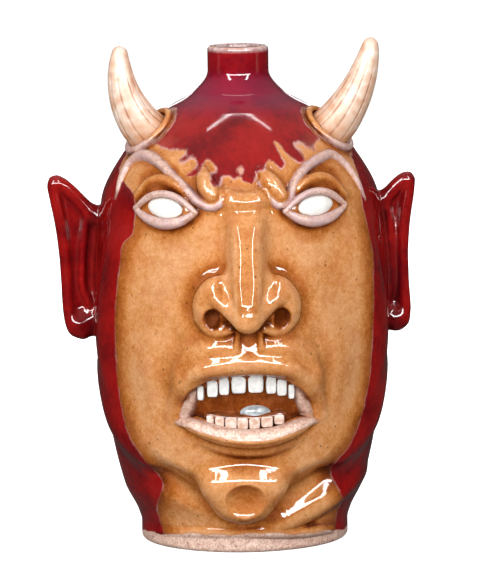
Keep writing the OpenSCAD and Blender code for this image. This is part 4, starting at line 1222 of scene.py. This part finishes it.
def turned_rows():
    """Rows of radius, height and normal: for the foot below the grid, then for the neck and the inside."""
    quarter = np.radians(np.linspace(0, 90, 6))
    foot = [(FOOT_R - FOOT_EDGE * (1 - math.cos(a)), FOOT_EDGE * (1 - math.sin(a))) for a in quarter]
    upper = [(float(wall_radius(z)), z) for z in np.arange(NECK_LOW, NECK_HIGH, NECK_STEP)]
    lip = (NECK_R - BORE_R) / 2
    for a in np.radians(np.linspace(0, 180, 13)):
        upper.append((NECK_R - lip + lip * math.cos(a), JUG_H - lip + lip * math.sin(a)))
    upper += [(BORE_R, z) for z in BORE_ROWS]
    for z in np.arange(BORE_LOW - INSIDE_START, FLOOR_T + CORNER_H, -INSIDE_STEP):
        cosine = float(np.interp(z, TABLE_Z, TABLE_COS))
        upper.append((max(BORE_R + INSIDE_NARROWEST, float(wall_radius(z)) - WALL_T / cosine), z))
    edge_r = upper[-1][0]
    for a in quarter[1:]:
        upper.append((edge_r - CORNER_W * (1 - math.cos(a)), FLOOR_T + CORNER_H * (1 - math.sin(a))))
    upper.append((edge_r - FLOOR_RING, FLOOR_T))
    strips = []
    for before, rows, after, sign in (((FOOT_R, GRID_LOW), foot + FOOT_UNDER, (0, FOOT_HOLLOW), -1),
                                      ((NECK_START_R, GRID_HIGH), upper, (0, FLOOR_T), 1)):
        line = np.array([before, *rows, after])
        along = line[2:] - line[:-2]
        normal = np.stack([along[:, 1], -along[:, 0]], -1) * sign
        strips.append(np.concatenate([rows, normal / np.linalg.norm(normal, axis=1)[:, None]], -1))
    return strips


RED_ALL_OVER = {"red": 30.0, "bare": -6.0, "pool": 0.0, "crest": 0.0}
# Fields of the bare foot, the pale edge of the lip and the painted shade of the inside
FOOT_BARE, LIP_RED, INSIDE_SHADE = 5.0, 0.3, 0.6
LIP_EDGE, LIP_EDGE_HALF = JUG_H - 0.4, 0.45
INSIDE_LOW, INSIDE_GAP = 4, 2


def jug_body():
    """The thrown body: its patch of the clay, beds under the other pieces, foot, neck and inside."""
    patch = quads[label == 0]
    ends = np.flatnonzero(first | last)
    loops = [loop for loop in border_loops(patch) if not np.isin(loop, ends).all()]
    own_points, faces, own_normals, own_fields, number = walled_patch(patch, loops, BODY_DEPTH,
                                                                      outward=True)
    turns = np.append(GRID_TURN, GRID_TURN[0] + 2 * np.pi)
    turns = (turns[1:] + turns[:-1]) / 2
    count = len(turns)
    around_axis = np.stack([np.sin(turns), -np.cos(turns), np.zeros(count)], -1)
    turned, turned_normals = [], []
    at = len(own_points)
    for strip, end, middle_z, up in zip(turned_rows(), (first, last), (FOOT_HOLLOW, FLOOR_T), (-1, 1)):
        rim = np.flatnonzero(end)
        ring = [number[v] for v in rim[np.argsort(column[rim])].tolist()]
        for r, z, out, rise in strip:
            turned.append(around_axis * r + [0, 0, z])
            turned_normals.append(around_axis * out + [0, 0, rise])
            for i in range(count):
                j = (i + 1) % count
                quad = [ring[i], ring[j], at + j, at + i]
                faces.append(quad if up > 0 else quad[:1] + quad[:0:-1])
            ring = list(range(at, at + count))
            at += count
        turned.append([[0, 0, middle_z]])
        turned_normals.append([[0, 0, up]])
        faces += [[ring[i], ring[(i + 1) % count], at][::up] for i in range(count)]
        at += 1
    turned = np.concatenate(turned)
    z = turned[:, 2]
    inside = (np.hypot(turned[:, 0], turned[:, 1]) < wall_radius(z) - INSIDE_GAP) & (z > INSIDE_LOW)
    extra = {key: np.full(len(turned), value) for key, value in RED_ALL_OVER.items()}
    extra["red"][np.abs(z - LIP_EDGE) < LIP_EDGE_HALF] = LIP_RED
    extra["bare"][z < FOOT_EDGE + 0.1] = FOOT_BARE
    # Painted shade inside the jug
    extra["pool"][inside] = INSIDE_SHADE
    own_fields = {key: np.concatenate([values, extra[key]]) for key, values in own_fields.items()}
    own_normals = np.concatenate([own_normals, *turned_normals])
    return make_object("jug_body_clay", np.concatenate([own_points, turned]), faces, own_normals,
                       own_fields)


finish_piece(jug_body(), "jug_body", stoneware)


# Horns

def sweep(rings):
    """Points and faces of a skin over rings of points, with a point at the middle of each end."""
    count, n = len(rings), len(rings[0])
    all_points = np.concatenate(list(rings) + [[rings[0].mean(0)], [rings[-1].mean(0)]])
    faces = []
    for k in range(count - 1):
        for j in range(n):
            i = (j + 1) % n
            faces.append([k * n + j, k * n + i, (k + 1) * n + i, (k + 1) * n + j])
    for j in range(n):
        i = (j + 1) % n
        faces.append([count * n, i, j])
        faces.append([count * n + 1, (count - 1) * n + j, (count - 1) * n + i])
    return all_points, faces


HORN_BLUNT_R, HORN_LENGTH = 2.8, 56
# Places of the drawn lines round the horn, in radians
HORN_LINES = [0.2, 0.62, 0.95, 1.3, 1.62, 2.02, 2.4, 2.9, 3.5, 4.1, 4.6, 5.1, 5.7]
HORN_LINE_W = 0.036
HORN_LINE_DEPTH = 0.4
HORN_LINE_FADE = (0.55, 0.85)
HORN_BEND = 0.53
HORN_TAPER = 0.68
# Shares of the horn's length: the round tip, and the root that spreads to the shoulder
HORN_CAP = HORN_BLUNT_R / HORN_LENGTH
HORN_SEAT = 0.16
HORN_STEPS, HORN_SIDES = 52, 132


def horn(name, side):
    """A blunt horn with drawn lines, its root spread to the shoulder inside the collar."""
    root = on_wall(side * HORN_TURN, HORN_ROOT_Z, 0)
    out = on_wall(side * HORN_TURN, HORN_ROOT_Z, 1) - root
    tip = np.array(HORN_TIPS[name], float)
    bend = root + out * np.linalg.norm(tip - root) * HORN_BEND
    round_axis = np.array([math.cos(side * HORN_TURN), math.sin(side * HORN_TURN), 0])
    angle = np.linspace(0, 2 * np.pi, HORN_SIDES, endpoint=False)
    apart = np.abs((angle[:, None] - np.array(HORN_LINES) + np.pi) % (2 * np.pi) - np.pi).min(1)
    drawn = np.exp(-(apart / HORN_LINE_W)**2)
    foot = horn_circle(side, HORN_R - 0.2, -1.0, HORN_SIDES)[:-1]
    rings, along, line = [], [], []
    cap_start = 1 - HORN_CAP
    cap = cap_start + HORN_CAP * np.sin(np.radians(np.arange(12, 90, 13)))
    for t in np.concatenate([np.linspace(0, cap_start, HORN_STEPS), cap]):
        centre = root * (1 - t)**2 + bend * 2 * t * (1 - t) + tip * t * t
        d = (bend - root) * (1 - t) + (tip - bend) * t
        d /= np.linalg.norm(d)
        e = round_axis - (round_axis @ d) * d
        e /= np.linalg.norm(e)
        f = np.cross(d, e)
        r = HORN_BLUNT_R + (HORN_R - HORN_BLUNT_R) * (1 - t)**HORN_TAPER
        end = math.sqrt(max(0.0, 1 - max(0.0, (t - 1 + HORN_CAP) / HORN_CAP)**2))
        fade = 1 - smooth_step(t, *HORN_LINE_FADE)
        skin = r * end - HORN_LINE_DEPTH * drawn * fade * end
        ring = centre + skin[:, None] * (np.cos(angle)[:, None] * e + np.sin(angle)[:, None] * f)
        seat = smooth_step(t, 0, HORN_SEAT)
        rings.append(foot * (1 - seat) + ring * seat)
        along += [t] * HORN_SIDES
        line += list(drawn * fade)
    all_points, faces = sweep(rings)
    marks = {"along": along + [0, 1], "line": line + [0, 0]}
    return make_object(f"{name}_horn_clay", all_points, faces, fields=marks)


for side, name in SIDES:
    finish_piece(horn(name, side), f"{name}_horn", horn_clay)


# Eyeballs, teeth, gums and tongue

def dome(name, x, z, half_w, half_h, base, rise, rings=10, sides=36, tilt=0):
    """A closed dome of clay on the wall, as a viewer in front sees it."""
    c, s = math.cos(math.radians(tilt)), math.sin(math.radians(tilt))
    layers = []
    arc = np.radians(np.linspace(0, 88, rings))
    for q, lift in [(1, base - 1)] + [(math.cos(a), base + rise * math.sin(a)) for a in arc]:
        layer = []
        for a in np.linspace(0, 2 * np.pi, sides, endpoint=False):
            u, v = half_w * q * math.cos(a), half_h * q * math.sin(a)
            layer.append(seen(x + c * u - s * v, z + s * u + c * v, lift))
        layers.append(np.array(layer))
    return make_object(name, *sweep(layers))


EYE_HALF_W, EYE_HALF_H, EYE_UP = 9, 5.3, 0.4
EYE_LIFT, EYE_RISE, EYE_TILT = 0.6, 4.0, -4
for name, (eye_x, eye_z, outward) in EYES.items():
    ball = dome(f"{name}_eyeball_clay", eye_x, eye_z + EYE_UP, EYE_HALF_W, EYE_HALF_H, EYE_LIFT, EYE_RISE,
                tilt=EYE_TILT * outward)
    finish_piece(ball, f"{name}_eyeball", eye_clay)

UPPER_TEETH = [(-21.6, 87.8, 3.2, 7.4), (-15.5, 90.2, 5.6, 8.6), (-9.5, 91.6, 5.2, 9),
               (-2.1, 92.5, 7.4, 9.2), (6.6, 92.7, 7.9, 9.2), (14.4, 91.8, 5.2, 9), (19.9, 90.3, 5.1, 8.6),
               (24.7, 87.8, 3, 7.4)]
LOWER_TEETH = [(-16.9, 73.6, 3.8, 4.8), (-12.1, 72.6, 4.6, 5.4), (-6.3, 72, 6, 5.9), (-0.3, 71.8, 5.5, 6),
               (5.7, 71.8, 5.5, 6), (12.1, 72.4, 6, 5.6), (18.4, 73.4, 5.2, 5)]
TOOTH_LIFT, TOOTH_T, TOOTH_TAPER = 5.0, 3.0, 0.05
TOOTH_SIDES, TOOTH_RINGS = 28, 16
# How round a tooth's corners are, from 0 for square to 1 for round
END_SOFT, WIDTH_SOFT, THICKNESS_SOFT, HEIGHT_SOFT = 0.3, 0.35, 0.4, 0.45


def soft(v, power):
    """A power of a number that keeps its sign, which squares a round."""
    return np.sign(v) * np.abs(v)**power


def tooth(name, x, z, width, height):
    """A chip of china with soft corners, set square to the wall."""
    centre = seen(x, z, TOOTH_LIFT)
    turn = math.atan2(centre[0], -centre[1])
    across = np.array([math.cos(turn), math.sin(turn), 0])
    normal = np.array([math.sin(turn), -math.cos(turn), 0])
    up = np.array([0, 0, 1.0])
    rings = []
    angle = np.linspace(0, 2 * np.pi, TOOTH_SIDES, endpoint=False)
    for b in np.radians(np.linspace(-89, 89, TOOTH_RINGS)):
        u = soft(math.cos(b), END_SOFT) * soft(np.cos(angle), WIDTH_SOFT) * width / 2
        v = soft(math.cos(b), END_SOFT) * soft(np.sin(angle), THICKNESS_SOFT) * TOOTH_T / 2
        w = soft(math.sin(b), HEIGHT_SOFT) * height / 2
        taper = 1 + TOOTH_TAPER * w / height
        rings.append(centre + (u * taper)[:, None] * across - v[:, None] * normal + w * up)
    return make_object(name, *sweep(rings))


for row, teeth, china in (("upper", UPPER_TEETH, tooth_china), ("lower", LOWER_TEETH, low_tooth_china)):
    for i, (x, z, width, height) in enumerate(teeth, 1):
        node = f"{row}_tooth_{i}"
        finish_piece(tooth(f"{node}_china", x, z, width, height), node, china)


GUM_STEPS = 30


def gum(name, line):
    """A strip of clay behind the teeth, along points of x, z, lift and radius."""
    smooth = spline(line, GUM_STEPS)
    spots = np.array([seen(x, z, lift) for x, z, lift, r in smooth])
    rings = []
    for k, (x, z, lift, r) in enumerate(smooth):
        d = spots[min(k + 1, GUM_STEPS - 1)] - spots[max(k - 1, 0)]
        d /= np.linalg.norm(d)
        out = spots[k] * [1, 1, 0]
        out /= np.linalg.norm(out)
        up = np.cross(out, d)
        up /= np.linalg.norm(up)
        end = math.sqrt(max(0.02, 1 - (2 * k / (GUM_STEPS - 1) - 1)**8))
        a = np.linspace(0, 2 * np.pi, 16, endpoint=False)
        rings.append(spots[k] + r * end * (np.cos(a)[:, None] * out - np.sin(a)[:, None] * up))
    return make_object(name, *sweep(rings))


UPPER_GUM = [(-24, 89.6, 2.6, 2.2), (-14, 93.6, 3, 2.6), (2, 96.4, 3.2, 2.8), (17, 94, 3, 2.6),
             (26.5, 90, 2.6, 2.2)]
LOWER_GUM = [(-20.5, 76, 2.8, 2), (-8, 74.4, 3, 2.4), (2, 74, 3, 2.5), (12, 74.4, 3, 2.4),
             (22.5, 76.2, 2.8, 2)]
finish_piece(gum("upper_gum_clay", UPPER_GUM), "upper_gum", gum_glaze)
finish_piece(gum("lower_gum_clay", LOWER_GUM), "lower_gum", gum_glaze)
finish_piece(dome("tongue_glaze", x=6.2, z=76.6, half_w=8, half_h=4.2, base=0.2, rise=4.6), "tongue",
             tongue_glass)


# Handle at the back

STRAP_W, STRAP_T = 22, 7.8
STRAP_TOP_Z, STRAP_LOW_Z = 245, 192
STRAP_REACH = 24
# How the strap leaves the neck and the shoulder, outwards and upwards
STRAP_TOP_PULL, STRAP_LOW_PULL = (1.4, 0.55), (1, 1.5)
STRAP_SIDES, STRAP_STEPS = 44, 60
STRAP_SQUARE = 0.7
STRAP_FLARE_W, STRAP_FLARE_T = 0.25, 0.6
GROOVE_DEPTH, GROOVE_X, GROOVE_W = 0.7, 5, 2.2
# The grooves lie on one face of the strap, where the sine of the angle round it is more than this
GROOVE_SIDE = 0.3


def handle():
    """A pulled strap with two thumb grooves, flared where it is luted to the neck and the shoulder."""
    top = np.array([wall_radius(STRAP_TOP_Z), STRAP_TOP_Z])
    low = np.array([wall_radius(STRAP_LOW_Z), STRAP_LOW_Z])
    top_pull = top + STRAP_REACH * np.array(STRAP_TOP_PULL)
    low_pull = low + STRAP_REACH * np.array(STRAP_LOW_PULL)
    angle = np.linspace(0, 2 * np.pi, STRAP_SIDES, endpoint=False)
    rings = []
    for t in np.arange(STRAP_STEPS + 1) / STRAP_STEPS:
        s = 1 - t
        centre = top * s**3 + top_pull * 3 * s**2 * t + low_pull * 3 * s * t**2 + low * t**3
        d = (top_pull - top) * s**2 + (low_pull - top_pull) * 2 * t * s + (low - low_pull) * t**2
        d /= np.linalg.norm(d)
        end = (2 * t - 1)**8
        wide = soft(np.cos(angle), STRAP_SQUARE) * STRAP_W / 2 * (1 + STRAP_FLARE_W * t**8)
        thick = soft(np.sin(angle), STRAP_SQUARE) * STRAP_T / 2 * (1 + STRAP_FLARE_T * end)
        groove = GROOVE_DEPTH * np.exp(-((np.abs(wide) - GROOVE_X) / GROOVE_W)**2)
        thick = thick - groove * (np.sin(angle) > GROOVE_SIDE) * (1 - end)
        y = centre[0] - d[1] * thick
        z = centre[1] + d[0] * thick
        seat = np.sqrt(np.maximum((wall_radius(z) - 1)**2 - wide**2, 0))
        y = np.where(end > 0.999, seat, np.maximum(y, seat))
        rings.append(np.stack([wide, y, z], -1))
    all_points, faces = sweep(rings)
    faces = [f[::-1] for f in faces]
    glaze = {key: np.full(len(all_points), value) for key, value in RED_ALL_OVER.items()}
    return make_object("handle_clay", all_points, faces, fields=glaze)


finish_piece(handle(), "handle", stoneware)


# Floor, light and camera

ROLL = math.radians(0.86)
ELEVATION = math.radians(7.5)
DISTANCE = 2.6
PIXEL = 0.527 * MM
TARGET = Vector((-0.4 * MM, 0, 133.4 * MM))
IMAGE_H = 570
SENSOR_H = 36
# Floor, in metres: its radius, and the radius and top of the curve that it ends in
FLOOR_R, CURVE_R, BACKDROP_H = 9, 3, 12
FLOOR_MIDDLE_R, FLOOR_SIDES = 0.02, 96


def stage_floor():
    """A plain pale floor that curves up into a backdrop far away on all sides."""
    profile = [(FLOOR_MIDDLE_R, 0), (FLOOR_R, 0)]
    for a in np.radians(np.arange(10, 91, 10)):
        profile.append((FLOOR_R + CURVE_R * math.sin(a), CURVE_R * (1 - math.cos(a))))
    profile.append((FLOOR_R + CURVE_R, BACKDROP_H))
    turns = np.linspace(0, 2 * math.pi, FLOOR_SIDES, endpoint=False)
    corners = [(r * math.cos(a), r * math.sin(a), z) for r, z in profile for a in turns]
    faces = [tuple(range(FLOOR_SIDES))]
    for k in range(0, len(corners) - FLOOR_SIDES, FLOOR_SIDES):
        for i in range(FLOOR_SIDES):
            j = (i + 1) % FLOOR_SIDES
            faces.append((k + i, k + FLOOR_SIDES + i, k + FLOOR_SIDES + j, k + j))
    mesh = bpy.data.meshes.new("floor")
    mesh.from_pydata(corners, [], faces)
    floor = bpy.data.objects.new("floor", mesh)
    bpy.context.scene.collection.objects.link(floor)
    material, node = new_material("pale_floor")
    noise = node("TexNoise", node("TexCoord", out="Object"), out="Fac", sockets={"Scale": 3})
    colour = node("ValToRGB", noise, stops=[(0.3, "#E8E8E8"), (0.7, "#EEEEEE")])
    shader = node("BsdfPrincipled", sockets={
        "Base Color": colour, "Roughness": 0.9, "Specular IOR Level": 0, "Emission Color": "#FFFFFF",
        "Emission Strength": 0.8})
    node("OutputMaterial", shader)
    mesh.materials.append(material)
    floor.visible_diffuse = False
    floor.visible_glossy = False


# Lights, in metres: place, height aimed at, width and height, brightness, if gloss mirrors it, and if it
# lights matt clay
LIGHTS = {
    "frame_top": ((0, 0.14, 1.45), 0.12, (0.9, 0.016), 30, True, False),
    "frame_low": ((0, -1.2, 0.67), 0.12, (2.5, 0.2), 36, True, False),
    "frame_left": ((-0.62, -0.8, 0.98), 0.12, (0.13, 0.8), 36, True, False),
    "frame_right": ((0.62, -0.8, 0.98), 0.12, (0.13, 0.8), 36, True, False),
    "front_fill": ((0, -1.8, 0.7), 0.12, (1.8, 1.4), 3.3, False, True),
    "left_fill": ((-1.4, -1.1, 0.7), 0.12, (1.0, 1.2), 3.8, False, True),
    "right_fill": ((1.5, -0.9, 0.7), 0.12, (1.0, 1.2), 1.8, False, True),
    "high_fill": ((0, -0.6, 1.7), 0.12, (1.2, 1.2), 1.2, False, True),
    "low_fill": ((0, -1.1, 0.08), 0.06, (1.6, 0.3), 3, False, True),
    "back_left": ((-0.2, 1.15, 0.55), 0.12, (0.08, 0.7), 3, True, True),
    "back_right": ((0.2, 1.15, 0.55), 0.12, (0.08, 0.7), 3, True, True),
    "back_fill": ((0, 1.6, 1.2), 0.12, (1.8, 1.2), 2.6, False, True)}


def soft_light(name, place, aim_z, size, glow, mirrored, spread):
    """A soft rectangular light that faces the jug's axis."""
    light = bpy.data.lights.new(name, "AREA")
    light.shape = "RECTANGLE"
    light.size, light.size_y = size
    light.energy = glow * math.pi * size[0] * size[1]
    lamp = bpy.data.objects.new(name, light)
    lamp.location = place
    lamp.rotation_euler = (Vector((0, 0, aim_z)) - Vector(place)).to_track_quat("-Z", "Y").to_euler()
    lamp.visible_camera = False
    lamp.visible_glossy = mirrored
    lamp.visible_diffuse = spread
    bpy.context.scene.collection.objects.link(lamp)


def studio():
    """A room that is brighter above, a frame of light strips over the face, and soft lights all round."""
    world = bpy.data.worlds.new("studio")
    bpy.context.scene.world = world
    world.use_nodes = True
    tree = world.node_tree
    rise = add_node(tree, "SeparateXYZ", add_node(tree, "TexCoord", out="Generated"), out="Z")
    share = add_node(tree, "MapRange", rise, -1, 1)
    glow = add_node(tree, "ValToRGB", share, stops=[(0.2, 0.1), (0.4, 0.05), (0.6, 0.05), (0.85, 0.45),
                                                    (1, 0.55)])
    background = tree.nodes["Background"]
    tree.links.new(glow, background.inputs["Color"])
    background.inputs["Strength"].default_value = 1.0
    for name, values in LIGHTS.items():
        soft_light(name, *values)


def camera():
    """The camera stands in front, a little above, and far enough to fit the picture's height."""
    data = bpy.data.cameras.new("camera")
    data.sensor_fit = "VERTICAL"
    data.sensor_height = SENSOR_H
    data.lens = SENSOR_H * DISTANCE / (IMAGE_H * PIXEL)
    shot = bpy.data.objects.new("camera", data)
    away = Vector((0, -math.cos(ELEVATION), math.sin(ELEVATION)))
    shot.location = TARGET + away * DISTANCE
    turn = (-away).to_track_quat("-Z", "Y").to_matrix().to_4x4()
    shot.rotation_euler = turn.to_euler()
    shot.rotation_euler.rotate_axis("Z", -ROLL)
    bpy.context.scene.collection.objects.link(shot)
    bpy.context.scene.camera = shot


stage_floor()
studio()
camera()
bpy.context.scene.view_settings.view_transform = "Standard"
